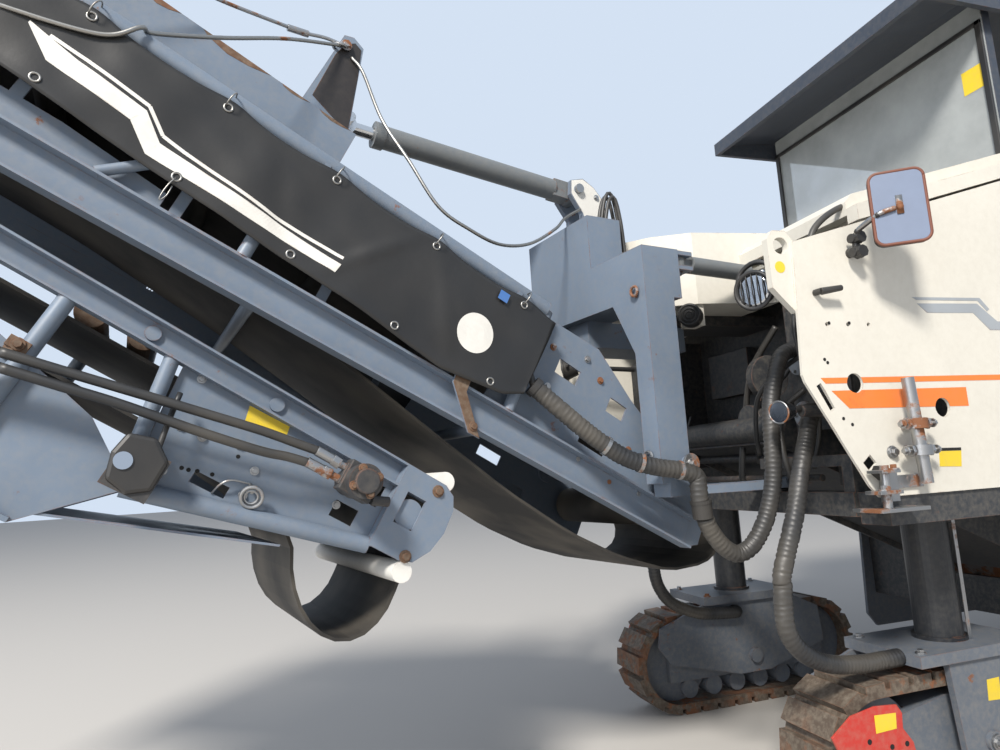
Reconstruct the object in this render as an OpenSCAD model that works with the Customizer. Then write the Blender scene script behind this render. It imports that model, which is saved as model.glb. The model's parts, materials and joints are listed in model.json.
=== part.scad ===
// Cold planer (road milling machine) on four tracks, with its folding front discharge conveyor.
// Millimetres, +Z up, +X towards the conveyor, +Y to the machine's left side, ground at z = 0.
// Inside the modules X = 0 lies on the axis of the front lifting columns; place() moves the whole
// machine so that the origin is on the ground under the middle of its length.

/* [Machine body] */
// Width over the side panels
body_w = 2500; // [2400:10:2600]
// Nose of the side panels, ahead of the front column axis
nose_x = 980; // [900:10:1050]
// Rear end of the body, behind the front column axis
tail_x = 5700; // [5500:10:5900]
// Underside of the chassis side beams
frame_z = 1290; // [1260:10:1330]
// Height of the chassis side beams
beam_h = 130; // [110:5:160]
// Width of each chassis side beam
beam_w = 150; // [120:5:180]
// Thickness of the side panels and sheet covers
skin_t = 12; // [8:1:20]
// Top of the side panels at the nose
nose_top_z = 2440; // [2380:10:2500]
// Slope of the front hood, rising rearwards
hood_slope = 16; // [10:1:20]
// Thickness of the lifting lug plates
lug_t = 30; // [20:1:40]
// Diameter of the hole in each lifting lug
lug_hole_d = 70; // [50:1:80]

/* [Platform and canopy] */
// Front edge of the operator's platform, behind the front column axis
deck_x = 850; // [800:10:900]
// Length of the operator's platform
deck_l = 2150; // [2000:10:2300]
// Height of the platform floor
deck_z = 2080; // [2000:10:2150]
// Top of the platform's side walls
rail_wall_z = 3020; // [2950:10:3080]
// Underside of the canopy roof
roof_z = 3985; // [3900:5:4050]
// Depth of the canopy's fascia
roof_t = 95; // [60:5:120]
// Overhang of the roof ahead of the windscreen
roof_over = 480; // [350:10:520]
// Half width of the canopy roof
roof_half_w = 950; // [900:10:1120]
// Side of the square canopy posts
post_s = 60; // [50:2:80]

/* [Engine bay] */
// Height of the engine hood at its front
hood_z = 2880; // [2800:10:2950]
// Length of the engine block
engine_l = 1500; // [1300:10:1600]

/* [Tracks and columns] */
// Distance between front and rear column axes
wheelbase = 4600; // [4400:10:4700]
// Distance of each column axis from the middle
column_y = 800; // [780:5:820]
// Diameter of the lifting columns
column_d = 200; // [180:2:220]
// Running gap around a lifting column
column_gap = 0.8; // [0.5:0.1:2]
// Length of a track over its shoes
track_l = 1690; // [1600:10:1750]
// Height of a track over its shoes
track_h = 612; // [590:2:640]
// Width of a track shoe
track_w = 300; // [280:5:320]
// Number of shoes on each track
shoes = 30; // [26:2:34]
// Thickness of a shoe plate
shoe_t = 34; // [26:1:40]
// Underside of the yoke plate on each leg
yoke_z = 655; // [650:5:680]

/* [Milling drum] */
// Diameter of the drum over the pick tips
drum_d = 980; // [940:10:1000]
// From the side of the body to the end of the milling drum
drum_room = 250; // [245:1:300]
// Distance of the drum axis behind the front columns
drum_x = 2300; // [2200:10:2400]
// Height of the drum axis with the machine raised
drum_z = 860; // [820:10:900]
// Picks in each of the two spirals
picks = 34; // [20:1:40]

/* [Swing frame] */
// Slewing axis, ahead of the front column axis
swing_x = 900; // [860:10:940]
// Angle of the conveyor to the left of straight ahead
slew_rest = 12; // [-20:1:20]
// Outer half width over the legs
leg_out = 660; // [640:5:680]
// Thickness of each leg across the machine
leg_t = 105; // [90:5:110]
// Depth of each leg along the conveyor
leg_l = 170; // [140:5:190]
// Front face of the legs, ahead of the slewing axis
leg_front = 630; // [600:5:650]
// Top of the portal
portal_z = 2575; // [2550:5:2600]
// Height of the portal's cross beam
portal_h = 235; // [200:5:250]
// Height of the top box above the portal
top_box_h = 280; // [240:5:300]
// Half width of the top box
top_box_half = 280; // [250:5:300]

/* [Conveyor boom] */
// Boom pivot, ahead of the slewing axis
pivot_s = 480; // [460:5:500]
// Height of the boom pivot
pivot_z = 1580; // [1560:5:1600]
// Rise of the boom above level
boom_rise = 28; // [27:1:56]
// Length from pivot to fold hinge
boom_l = 4000; // [3600:10:4400]
// Half width over the side frames
boom_half = 550; // [540:1:560]
// Height of the channel rails
rail_h = 140; // [120:2:150]
// Depth of the channel rails
rail_w = 60; // [50:1:65]
// Underside of the rails, below the pivot
rail_low = 300; // [290:1:310]
// Diameter of the upper side pipes
pipe_d = 76; // [60:1:84]
// Height of the side pipes above the pivot
pipe_high = 320; // [310:1:330]
// Width of the belt
belt_w = 800; // [750:10:820]
// Thickness of the belt
belt_t = 12; // [8:1:16]

/* [Folding tip] */
// Length of the tip section from hinge to end plates
tip_l = 3100; // [2800:10:3500]
// Angle between the folded tip and the boom
fold_gap = 3.2; // [3:0.1:6]
// Height of the tip's rails
tip_rail_h = 90; // [80:1:100]
// Diameter of the tip's side tubes
tip_tube_d = 60; // [50:1:70]

/* [Cylinders] */
// Diameter of the lift cylinder's barrel
lift_d = 110; // [100:1:120]
// Diameter of the lift cylinder's rod
lift_rod_d = 60; // [50:1:64]
// Diameter of a slew cylinder's barrel
slew_d = 84; // [76:1:90]
// Diameter of a slew cylinder's rod
slew_rod_d = 44; // [40:1:48]
// Radial gap of a rod inside its barrel
rod_gap = 0.6; // [0.4:0.1:1.5]

/* [Hidden] */
$fn = 48;

half_w = body_w / 2;
drum_w = body_w - 2 * drum_room;
fit = 0.3;
run_gap = 0.5;
drum_shaft_d = 200;
swing_pin_d = 90;
foot_pin_d = 70;
fold_pin_d = 40;
lift_pin_d = 50;
slew_pin_d = 33;
beam_top = frame_z + beam_h;
beam_y = half_w - beam_w - skin_t - fit;
hood_front_x = nose_x - 130;
sleeve_d = column_d + 100;
slope = tan(hood_slope);

// Reach of the whole machine ahead of and behind the front columns, for the origin
tip_out = boom_half - 4;
tip_plate = [260, 760];
reach_x = boom_l - tip_plate[0] * cos(fold_gap) + tip_plate[1] * sin(fold_gap);
reach_z = -rail_low - 40 - tip_plate[0] * sin(fold_gap) - tip_plate[1] * cos(fold_gap);
boom_reach = swing_x + (pivot_s + reach_x * cos(boom_rise) - reach_z * sin(boom_rise)) * cos(slew_rest)
    + (tip_out - 20) * sin(slew_rest);
origin_x = (boom_reach - tail_x) / 2;

// Pins of the cylinders: barrel pin in the swing frame's axes, eye in the boom's axes
lift_pin = [520, 3090];
lift_eye = [1930, 850];
lift_eye_s = [pivot_s + lift_eye[0] * cos(boom_rise) - lift_eye[1] * sin(boom_rise),
    pivot_z + lift_eye[0] * sin(boom_rise) + lift_eye[1] * cos(boom_rise)];
lift_vec = lift_eye_s - lift_pin;
lift_len = norm(lift_vec);
lift_ang = atan2(lift_vec[1], lift_vec[0]);
slew_pin = [360, 600];
slew_anchor = [520, 520];
wall_x = 420;
nose_low = 2402;
screen_half = 860;
hood_edge_x = 600;
hood_edge_z = 2600;
hood_t = 90;
slew_z = 2530;

steel_grey = [0.50, 0.56, 0.63];
body_white = [0.90, 0.88, 0.80];
dark = [0.12, 0.12, 0.13];
canopy_blue = [0.22, 0.25, 0.31];
rust = [0.42, 0.26, 0.17];

// Underside of the sloping hood at a distance x ahead of the front columns
function hood_under(x) = hood_edge_z + (hood_edge_x - x) * slope;

// A polygon in the XZ plane, from y0 to y1
module xz(pts, y0, y1) {
    translate([0, y1, 0]) rotate([90, 0, 0]) linear_extrude(y1 - y0) polygon(pts);
}

// A polygon in the YZ plane, from x0 to x1
module yz(pts, x0, x1) {
    translate([x0, 0, 0]) rotate([90, 0, 90]) linear_extrude(x1 - x0) polygon(pts);
}

// A block given by its low and high corners
module block(lo, hi) {
    translate(lo) cube(hi - lo);
}

// A round bar from p to q
module bar(p, q, d) {
    v = q - p;
    l = norm(v);
    translate(p) rotate([0, acos(v[2] / l), atan2(v[1], v[0])]) cylinder(h = l, d = d);
}

// A round pin or bore across the machine, from y0 to y1
module cross_pin(x, z, y0, y1, d) {
    translate([x, y0, z]) rotate([-90, 0, 0]) cylinder(h = y1 - y0, d = d);
}

// A flexible tube of diameter d through the points p; m is a direction that the route never takes
module tube(p, d, m) {
    n = len(p);
    s = 10;
    rings = [for (i = [0:n - 1]) let (
        v = p[min(i + 1, n - 1)] - p[max(i - 1, 0)],
        a = cross(v, m) / norm(cross(v, m)),
        b = cross(a, v) / norm(cross(a, v)))
        for (k = [0:s - 1]) p[i] + d / 2 * (a * cos(k * 360 / s) + b * sin(k * 360 / s))];
    faces = [for (i = [0:n - 2]) for (k = [0:s - 1]) for (f = [0:1]) let (k1 = (k + 1) % s)
        f == 0 ? [i * s + k, i * s + k1, (i + 1) * s + k] : [i * s + k1, (i + 1) * s + k1, (i + 1) * s + k]];
    polyhedron(rings, concat([[for (k = [s - 1:-1:0]) k]], faces, [[for (k = [0:s - 1]) (n - 1) * s + k]]));
}

module both_sides() {
    children();
    mirror([0, 1, 0]) children();
}

module place() {
    translate([-origin_x, 0, 0]) children();
}

module in_swing() {
    place() translate([swing_x, 0, 0]) rotate([0, 0, slew_rest]) children();
}

module in_boom() {
    in_swing() translate([pivot_s, 0, pivot_z]) rotate([0, -boom_rise, 0]) children();
}

module in_tip() {
    in_boom() translate([boom_l, 0, -rail_low - 40]) rotate([0, 180 - fold_gap, 0]) children();
}

// Chassis: two side beams, cross members and the four guide sleeves of the lifting columns
module chassis_frame() {
    color(dark) place() {
        both_sides() block([-tail_x, beam_y, frame_z], [hood_front_x - 200, beam_y + beam_w, beam_top]);
        for (x = [-1250, -3450, -tail_x])
            block([x, -beam_y, frame_z + 20], [x + 120, beam_y, beam_top]);
        both_sides() block([-tail_x + 400, 340, beam_top], [-3330, 420, beam_top + 160]);
        for (x = [0, -wheelbase]) both_sides() {
            difference() {
                union() {
                    translate([x, column_y, frame_z - 10]) cylinder(h = 900, d = sleeve_d);
                    block([x - 260, column_y - 230, frame_z], [x + 260, beam_y, frame_z + 60]);
                    block([x - 200, column_y - 60, frame_z + 60], [x + 200, beam_y, beam_top]);
                    block([x - 220, column_y + 60, beam_top], [x + 145, beam_y + 40, beam_top + 40]);
                }
                translate([x, column_y, frame_z - 20]) cylinder(h = 880, d = column_d + 2 * column_gap);
            }
        }
    }
}

// Nose bay: bulkhead, upper bracket of the slewing pivot, front cross beam, cylinder anchors
module nose_bay() {
    wall = 150 + fit;
    color(dark) place() {
        difference() {
            block([wall, -half_w + skin_t + 61, beam_top + fit],
                [wall + 20, half_w - skin_t - 61, hood_under(wall + 20) - fit]);
            block([wall - 5, -490, beam_top - 10], [wall + 30, 490, 1840]);
        }
        block([560, -beam_y + fit, frame_z + 30], [670, beam_y - fit, beam_top]);
        both_sides() {
            block([wall + 20, 628, beam_top + 120], [520, 640, 2395]);
            block([508, 640, 1700], [520, 1000, 2300]);
            block([600, 500, 1530], [660, beam_y - fit, 1580]);
            block([520, beam_y - 60, beam_top], [660, beam_y - fit, 1580]);
        }
        both_sides() block([560, 480, beam_top], [760, 640, beam_top + 12]);
        difference() {
            block([wall + 20, -150, 2344], [swing_x + 90, 150, nose_low - fit]);
            translate([swing_x, 0, 2300]) cylinder(h = 140, d = swing_pin_d + 2 * run_gap);
        }
    }
}

// Outline of a side panel's front part; y is the inner face
module panel_outline() {
    polygon([[nose_x - 10, nose_top_z], [nose_x + 20, 1896], [nose_x + 10, 1866], [744, 1451], [700, 1405],
        [-deck_x, 1405], [-deck_x, nose_top_z + (deck_x + nose_x - 10) * slope]]);
}

module panel_left_shape() {
    difference() {
        translate([0, half_w, 0]) rotate([90, 0, 0]) linear_extrude(skin_t) panel_outline();
        for (h = [[750, 1860, 80], [310, 1750, 80]]) cross_pin(h[0], h[1], half_w - 60, half_w + 10, h[2]);
        for (x = [850, 745, 640]) cross_pin(x, 2100, half_w - 60, half_w + 10, 18);
        translate([902, half_w - 40, 1807]) rotate([0, 28, 0]) cube([26, 100, 115], center = true);
        translate([729, half_w - 40, 1541]) rotate([0, 38, 0]) cube([50, 100, 44], center = true);
    }
}

module side_panel_left() {
    color(body_white) place() panel_left_shape();
}

module side_panel_right() {
    color(body_white) place() mirror([0, 1, 0]) panel_left_shape();
}

// Front hood: sloping deck over the water tank with its own front lip and side returns
module front_hood() {
    top_y = half_w - skin_t - fit;
    xr = -deck_x + 10;
    color(body_white) place() {
        xz([[hood_edge_x, hood_edge_z], [hood_edge_x, hood_edge_z + hood_t - 30],
            [hood_edge_x - 40, hood_under(hood_edge_x - 40) + hood_t], [xr, hood_under(xr) + hood_t],
            [xr, hood_under(xr)]], -top_y + 60, top_y - 60);
        block([wall_x - 20, -top_y + 60, nose_low], [wall_x, top_y - 60, hood_under(wall_x) + 20]);
        translate([0, 0, nose_low]) linear_extrude(2790 - nose_low) polygon([[wall_x - 10, -460], [600, -440],
            [860, -410], [1050, -310], [1200, -160], [1200, 160], [1050, 310], [860, 410], [600, 440],
            [wall_x - 10, 460]]);
        translate([0, 0, 2290]) linear_extrude(nose_low - 2289) polygon([[820, 300], [905, 300], [905, 352],
            [862, 395], [820, 395]]);
        both_sides() for (z = [slew_z - 50, slew_z + 30])
            block([slew_anchor[0] - 60, 430, z], [slew_anchor[0] + 34, slew_anchor[1] + 50, z + 20]);
        both_sides() xz([[hood_edge_x, hood_edge_z - 40], [hood_edge_x, hood_edge_z + 30],
            [xr, hood_under(xr) + 30], [xr, hood_under(xr) - 40]], top_y - 60, top_y);
    }
}

// Lifting lugs at the four corners
module lifting_lugs() {
    y = half_w - skin_t - fit;
    x = nose_x + 40;
    r = -tail_x + 75;
    color(body_white) place() both_sides() {
        difference() {
            xz([[x - 90, 2150], [x - 90, 2360], [x - 62, 2450], [x - 30, 2488], [x + 30, 2488],
                [x + 62, 2450], [x + 60, 2250], [x - 40, 2150]], y - lug_t, y);
            cross_pin(x, 2424, half_w - 80, half_w, lug_hole_d);
        }
        difference() {
            xz([[r - 70, beam_top + fit], [r - 70, 1650], [r - 40, 1690], [r + 40, 1690], [r + 70, 1650],
                [r + 70, beam_top + fit]], beam_y + 20, beam_y + 20 + lug_t);
            cross_pin(r, 1624, beam_y, beam_y + 100, lug_hole_d);
        }
    }
}

// Tube post with its clamps on the left panel, foot bracket below
module clamp_post() {
    color("dimgray") place() {
        bar([520, half_w + 60, 1450], [545, half_w + 60, 1870], 48);
        for (z = [1560, 1665]) {
            difference() {
                translate([527 + (z - 1560) * 0.06, half_w + 60, z]) cylinder(h = 40, d = 84);
                translate([520 + (z - 1500) * 0.06, half_w + 60, z - 5]) cylinder(h = 50, d = 49);
            }
            block([505, half_w + 0.3, z], [549, half_w + 24, z + 40]);
        }
    }
}

module rounded_plate(w, h, r, t) {
    rotate([90, 0, 90]) linear_extrude(t) {
        for (x = [-1, 1]) for (y = [-1, 1]) translate([x * (w / 2 - r), y * (h / 2 - r)]) circle(r);
        square([w - 2 * r, h], center = true);
        square([w, h - 2 * r], center = true);
    }
}

module mirror_shape() {
    bar([690, half_w + fit, 2400], [690, half_w + 60, 2400], 40);
    translate([690, half_w + 40, 2385]) cylinder(h = 70, d = 28);
    bar([690, half_w + 40, 2445], [706, half_w + 70, 2470], 20);
    translate([706, half_w + 70, 2470]) sphere(d = 24);
    bar([706, half_w + 70, 2470], [690, half_w + 160, 2505], 18);
    translate([690, half_w + 160, 2505]) sphere(d = 22);
    bar([690, half_w + 160, 2505], [620, half_w + 196, 2528], 18);
    translate([611, half_w + 190, 2527]) rotate([0, 0, 55]) difference() {
        translate([-16, 0, 0]) rounded_plate(196, 296, 34, 32);
        translate([-17, 0, 0]) rounded_plate(172, 272, 26, 12);
    }
}

module mirror_left() {
    color("dimgray") place() mirror_shape();
}

module mirror_right() {
    color("dimgray") place() mirror([0, 1, 0]) mirror_shape();
}

// Horn on the nose, headlamps and bay lamps
module work_lamps() {
    wall = 520 + fit;
    color("dimgray") place() {
        both_sides() {
            translate([940, 1010, 2300]) rotate([0, 96, 28]) cylinder(h = 95, d1 = 110, d2 = 165);
            bar([wall + 2.6, 960, 2270], [950, 1010, 2300], 34);
            bar([wall + 2.6, 985, 1830], [860, 985, 1778], 30);
            translate([850, 984, 1778]) rotate([0, 94, 15]) cylinder(h = 80, d1 = 60, d2 = 95);
        }
        translate([883.7, 373.7, 2340]) rotate([0, 90, 45]) cylinder(h = 64, d = 120);
    }
}

// Operator's platform: floor, side walls, front and rear walls
module platform() {
    x0 = -deck_x - deck_l;
    x1 = -deck_x - 4;
    color(body_white) place() {
        difference() {
            block([x0, -half_w, deck_z - 60], [x1, half_w, rail_wall_z]);
            block([x0 + 40, -half_w + 40, deck_z], [x1 - 40, half_w - 40, rail_wall_z + 10]);
            both_sides() block([x0 + 750, half_w - 60, deck_z + 60], [x0 + 1350, half_w + 20, rail_wall_z + 10]);
        }
        both_sides() block([x0, half_w - 200, beam_top + fit], [x1, half_w, deck_z - 60]);
        block([x0 - 150, -half_w, beam_top + fit], [x0, half_w, 2500]);
        both_sides() difference() {
            block([x0 - 145, 600, hood_z - 40], [x0 + 1, 640, hood_z + 10]);
            cross_pin(x0 - 120, hood_z - 15, 590, 650, 31);
        }
    }
}

module guard_rails() {
    x0 = -deck_x - deck_l;
    color(dark) place() both_sides() {
        for (x = [x0 + 60, x0 + 720, x0 + 1380, -deck_x - 80])
            bar([x, half_w - 20, rail_wall_z], [x, half_w - 20, rail_wall_z + 220], 38);
        bar([x0 + 60, half_w - 20, rail_wall_z + 220], [x0 + 720, half_w - 20, rail_wall_z + 220], 38);
        bar([x0 + 1380, half_w - 20, rail_wall_z + 220], [-deck_x - 80, half_w - 20, rail_wall_z + 220], 38);
    }
}

module consoles() {
    color(dark) place() both_sides()
        xz([[-deck_x - 120, deck_z + 0.3], [-deck_x - 120, deck_z + 950], [-deck_x - 350, deck_z + 1020],
            [-deck_x - 480, deck_z + 900], [-deck_x - 330, deck_z + 800], [-deck_x - 330, deck_z + 0.3]], 620, 1080);
}

module seats() {
    color(dark) place() both_sides() {
        x = -deck_x - 1150;
        translate([x, 850, deck_z + 0.3]) cylinder(h = 420, d = 140);
        block([x - 220, 620, deck_z + 420], [x + 240, 1080, deck_z + 540]);
        xz([[x - 220, deck_z + 540], [x - 120, deck_z + 540], [x - 190, deck_z + 1100], [x - 270, deck_z + 1100]],
            640, 1060);
    }
}

// Canopy: four posts, cambered roof with a fascia all round
module canopy() {
    xf = -deck_x + roof_over;
    xr = -deck_x - deck_l - 150;
    top = roof_z + roof_t;
    color(canopy_blue) place() {
        difference() {
            xz([[xf, roof_z], [xf, top], [xf - 450, top + 55], [xr + 300, top + 55], [xr, top], [xr, roof_z]],
                -roof_half_w, roof_half_w);
            xz([[xf - 30, roof_z - 5], [xf - 30, top - 24], [xf - 452, top + 31], [xr + 302, top + 31],
                [xr + 30, top - 24], [xr + 30, roof_z - 5]], -roof_half_w + 30, roof_half_w - 30);
        }
        both_sides() {
            block([-deck_x - 44 - post_s, screen_half - post_s, deck_z + fit],
                [-deck_x - 44, screen_half, top + 35]);
            block([-deck_x - deck_l + 50, screen_half - post_s, deck_z + fit],
                [-deck_x - deck_l + 50 + post_s, screen_half, top + 35]);
        }
    }
}

module windscreen() {
    color([0.6, 0.7, 0.75, 0.4]) place()
        block([-deck_x - 44 + fit, -screen_half, rail_wall_z + fit],
            [-deck_x - 34, screen_half, roof_z + roof_t + 20]);
}

module ladders() {
    x0 = -deck_x - deck_l + 750;
    color(dark) place() both_sides() {
        for (x = [x0 + 60, x0 + 500]) block([x, half_w + fit, 700], [x + 40, half_w + 60, 2000]);
        for (z = [720, 1000, 1280, 1560, 1840]) block([x0 + 100, half_w + 5, z], [x0 + 500, half_w + 60, z + 40]);
    }
}

// Engine hood, hinged at its front edge; louvres in both sides, open at both ends and below
module engine_hood() {
    x0 = -tail_x + 170;
    x1 = -deck_x - deck_l - 160;
    color(body_white) place() difference() {
        xz([[x0, beam_top + 10], [x1, beam_top + 10], [x1, hood_z], [x0 + 260, hood_z - 120], [x0, hood_z - 300]],
            -half_w, half_w);
        xz([[x0 - 10, beam_top], [x1 + 10, beam_top], [x1 + 10, hood_z - 30], [x0 + 250, hood_z - 150],
            [x0 - 10, hood_z - 330]], -half_w + 30, half_w - 30);
        for (k = [0:9]) block([x0 + 500, -half_w - 10, 1800 + k * 70], [x0 + 1300, half_w + 10, 1826 + k * 70]);
    }
    color(body_white) place() both_sides() {
        for (y = [560, 650]) block([x1 - 60, y, hood_z - 30], [x1 + 40, y + 30, hood_z]);
        cross_pin(x1 + 40, hood_z - 15, 560, 680, 30);
    }
}

module radiator_grille() {
    x0 = -tail_x + 175;
    w = half_w - 30 - fit;
    color(dark) place() {
        difference() {
            block([x0, -w, beam_top + 20], [x0 + 36, w, hood_z - 335]);
            block([x0 - 5, -w + 60, beam_top + 90], [x0 + 50, w - 60, hood_z - 400]);
        }
        for (k = [0:11]) block([x0 + 4, -w + 60, beam_top + 110 + k * 82], [x0 + 32, w - 60, beam_top + 134 + k * 82]);
    }
}

module engine_block() {
    x0 = -tail_x + 700;
    color("dimgray") place() block([x0, -420, beam_top + 160 + fit], [x0 + engine_l, 420, 2500]);
}

module exhaust_pipe() {
    x = -deck_x - deck_l - 75;
    color(dark) place() difference() {
        translate([x, -1080, 2500 + fit]) cylinder(h = 1100, d = 120);
        translate([x, -1080, 2520]) cylinder(h = 1100, d = 104);
    }
}

// Receiving conveyor from the drum housing up to the nose, with its belt and covers
module receiving_conveyor() {
    a = 24;
    color(dark) place() translate([-1500, 0, 745]) rotate([0, -a, 0]) {
        both_sides() block([0, 460, 0], [2200, 480, 260]);
        block([30, -430, 190], [2180, 430, 190 + belt_t]);
        block([30, -430, 30], [2180, 430, 30 + belt_t]);
        both_sides() for (x = [200:450:2000]) bar([x, -1, 170], [x, 461, 170], 40);
        block([0, -480, 260], [2050, 480, 270]);
        cross_pin(2180, 116, -461, 461, 148);
        cross_pin(60, 116, -461, 461, 148);
    }
}

// Drum housing: open below, with front and rear walls, a sloping roof and flanges under the beams
module drum_housing() {
    x = -drum_x;
    w = drum_w / 2 + 60;
    color(dark) place() {
        difference() {
            xz([[x - 720, 480], [x - 720, 1200], [x - 600, beam_top], [x + 560, beam_top], [x + 720, 1200],
                [x + 800, 900], [x + 800, 480]], -w, w);
            xz([[x - 690, 470], [x - 690, 1190], [x - 585, beam_top - 28], [x + 545, beam_top - 28],
                [x + 690, 1190], [x + 770, 900], [x + 770, 470]], -w + 30, w - 30);
            block([x + 690, -480 - fit, 715], [x + 830, 480 + fit, 1060]);
            cross_pin(x, drum_z, -drum_w, drum_w, drum_shaft_d + 2 * run_gap);
        }
        both_sides() block([x - 500, w - 1, frame_z - 30], [x + 500, half_w - 100, frame_z - fit]);
    }
}

module drum_side_plates() {
    x = -drum_x;
    y = drum_w / 2 + 60 + fit;
    color(steel_grey) place() both_sides()
        xz([[x - 900, 330], [x - 820, 230], [x + 820, 230], [x + 900, 330], [x + 860, 1180], [x - 860, 1180]],
            y, y + 24);
}

// Milling drum: body, two mirrored spirals of pick holders and picks
module milling_drum() {
    body_d = drum_d - 260;
    color(rust) place() translate([-drum_x, 0, drum_z]) {
        rotate([-90, 0, 0]) translate([0, 0, -drum_w / 2]) cylinder(h = drum_w, d = body_d);
        rotate([-90, 0, 0]) translate([0, 0, -drum_w / 2 - 50]) cylinder(h = drum_w + 100, d = drum_shaft_d);
        for (k = [0:picks - 1]) both_sides() {
            t = (k + 0.5) / picks;
            translate([0, 20 + t * (drum_w / 2 - 60), 0]) rotate([0, k * 57 + 20, 0]) {
                translate([-35, -28, body_d / 2 - 8]) cube([80, 56, 75]);
                translate([0, 0, body_d / 2 + 50]) rotate([0, 35, 0]) cylinder(h = 88, d1 = 44, d2 = 18);
            }
        }
    }
}

module scraper_flap() {
    x = -drum_x - 720 - 30 - fit;
    color(dark) place() {
        cross_pin(x, 1150, -900, 900, 60);
        block([x - 12, -940, 330], [x + 12, 940, 1150]);
    }
}

// One leg: lifting column, yoke plate and cheeks, rocking pin, track carrier with rollers
module leg() {
    r = track_h / 2;
    c = track_l / 2 - r;
    inner_r = r - shoe_t - 30;
    color(steel_grey) {
        translate([0, 0, yoke_z + 49]) cylinder(h = 1350, d = column_d);
        block([-330, -212, yoke_z], [360, 212, yoke_z + 50]);
        xz([[-190, yoke_z + 1], [-150, r - 60], [-60, r - 110], [60, r - 110], [150, r - 60], [190, yoke_z + 1]],
            track_w / 2 + 14, track_w / 2 + 44);
        xz([[-330, yoke_z + 1], [-540, 560], [-560, 330], [-120, 200], [120, 200], [620, 320], [700, 430],
            [680, 545], [360, yoke_z + 1]], -track_w / 2 - 34, -track_w / 2 - 14);
        cross_pin(0, r, -track_w / 2 - 60, track_w / 2 + 60, 90);
        difference() {
            xz([[-c - 60, r - 120], [-c - 60, r + 110], [-140, r + 190], [140, r + 190], [c + 60, r + 110],
                [c + 60, r - 120]], -110, 110);
            for (x = [-c, c]) cross_pin(x, r, -70, 70, 2 * inner_r + 20);
        }
        for (x = [-c, c]) cross_pin(x, r, -66, 66, 2 * inner_r - 2 * fit);
        for (x = [-c, c]) cross_pin(x, r, -115, 115, 120);
        for (x = [-450:180:450]) cross_pin(x, r - 175, -90, 90, 120);
    }
}

// One track: closed band of links with its shoes standing proud, drawn as one profile
module stadium(c, rad) {
    for (x = [-c, c]) translate([x, 0]) circle(rad);
    square([2 * c, 2 * rad], center = true);
}

module track() {
    r = track_h / 2;
    c = track_l / 2 - r;
    band = r - shoe_t;
    arc = PI * band;
    pitch = (4 * c + 2 * arc) / shoes;
    w = pitch - 26;
    color(rust) translate([0, track_w / 2, r]) rotate([90, 0, 0]) linear_extrude(track_w) difference() {
        union() {
            stadium(c, band);
            for (k = [0:shoes - 1]) {
                d = (k + 0.5) * pitch;
                if (d < 2 * c) translate([d - c - w / 2, band - 8]) square([w, shoe_t + 8]);
                else if (d < 2 * c + arc) translate([c, 0]) rotate(-(d - 2 * c) / band * 180 / PI)
                    translate([-w / 2, band - 10]) square([w, shoe_t + 4]);
                else if (d < 4 * c + arc) translate([c - (d - 2 * c - arc) - w / 2, -band - shoe_t])
                    square([w, shoe_t + 8]);
                else translate([-c, 0]) rotate(180 - (d - 4 * c - arc) / band * 180 / PI)
                    translate([-w / 2, band - 10]) square([w, shoe_t + 4]);
            }
        }
        stadium(c, band - 30);
    }
}

module at_leg(x, side) {
    place() translate([x, side * column_y, 0]) mirror([0, side < 0 ? 1 : 0, 0]) children();
}

module leg_front_left() { at_leg(0, 1) leg(); }
module leg_front_right() { at_leg(0, -1) leg(); }
module leg_rear_left() { at_leg(-wheelbase, 1) leg(); }
module leg_rear_right() { at_leg(-wheelbase, -1) leg(); }
module track_front_left() { at_leg(0, 1) track(); }
module track_front_right() { at_leg(0, -1) track(); }
module track_rear_left() { at_leg(-wheelbase, 1) track(); }
module track_rear_right() { at_leg(-wheelbase, -1) track(); }

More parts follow.
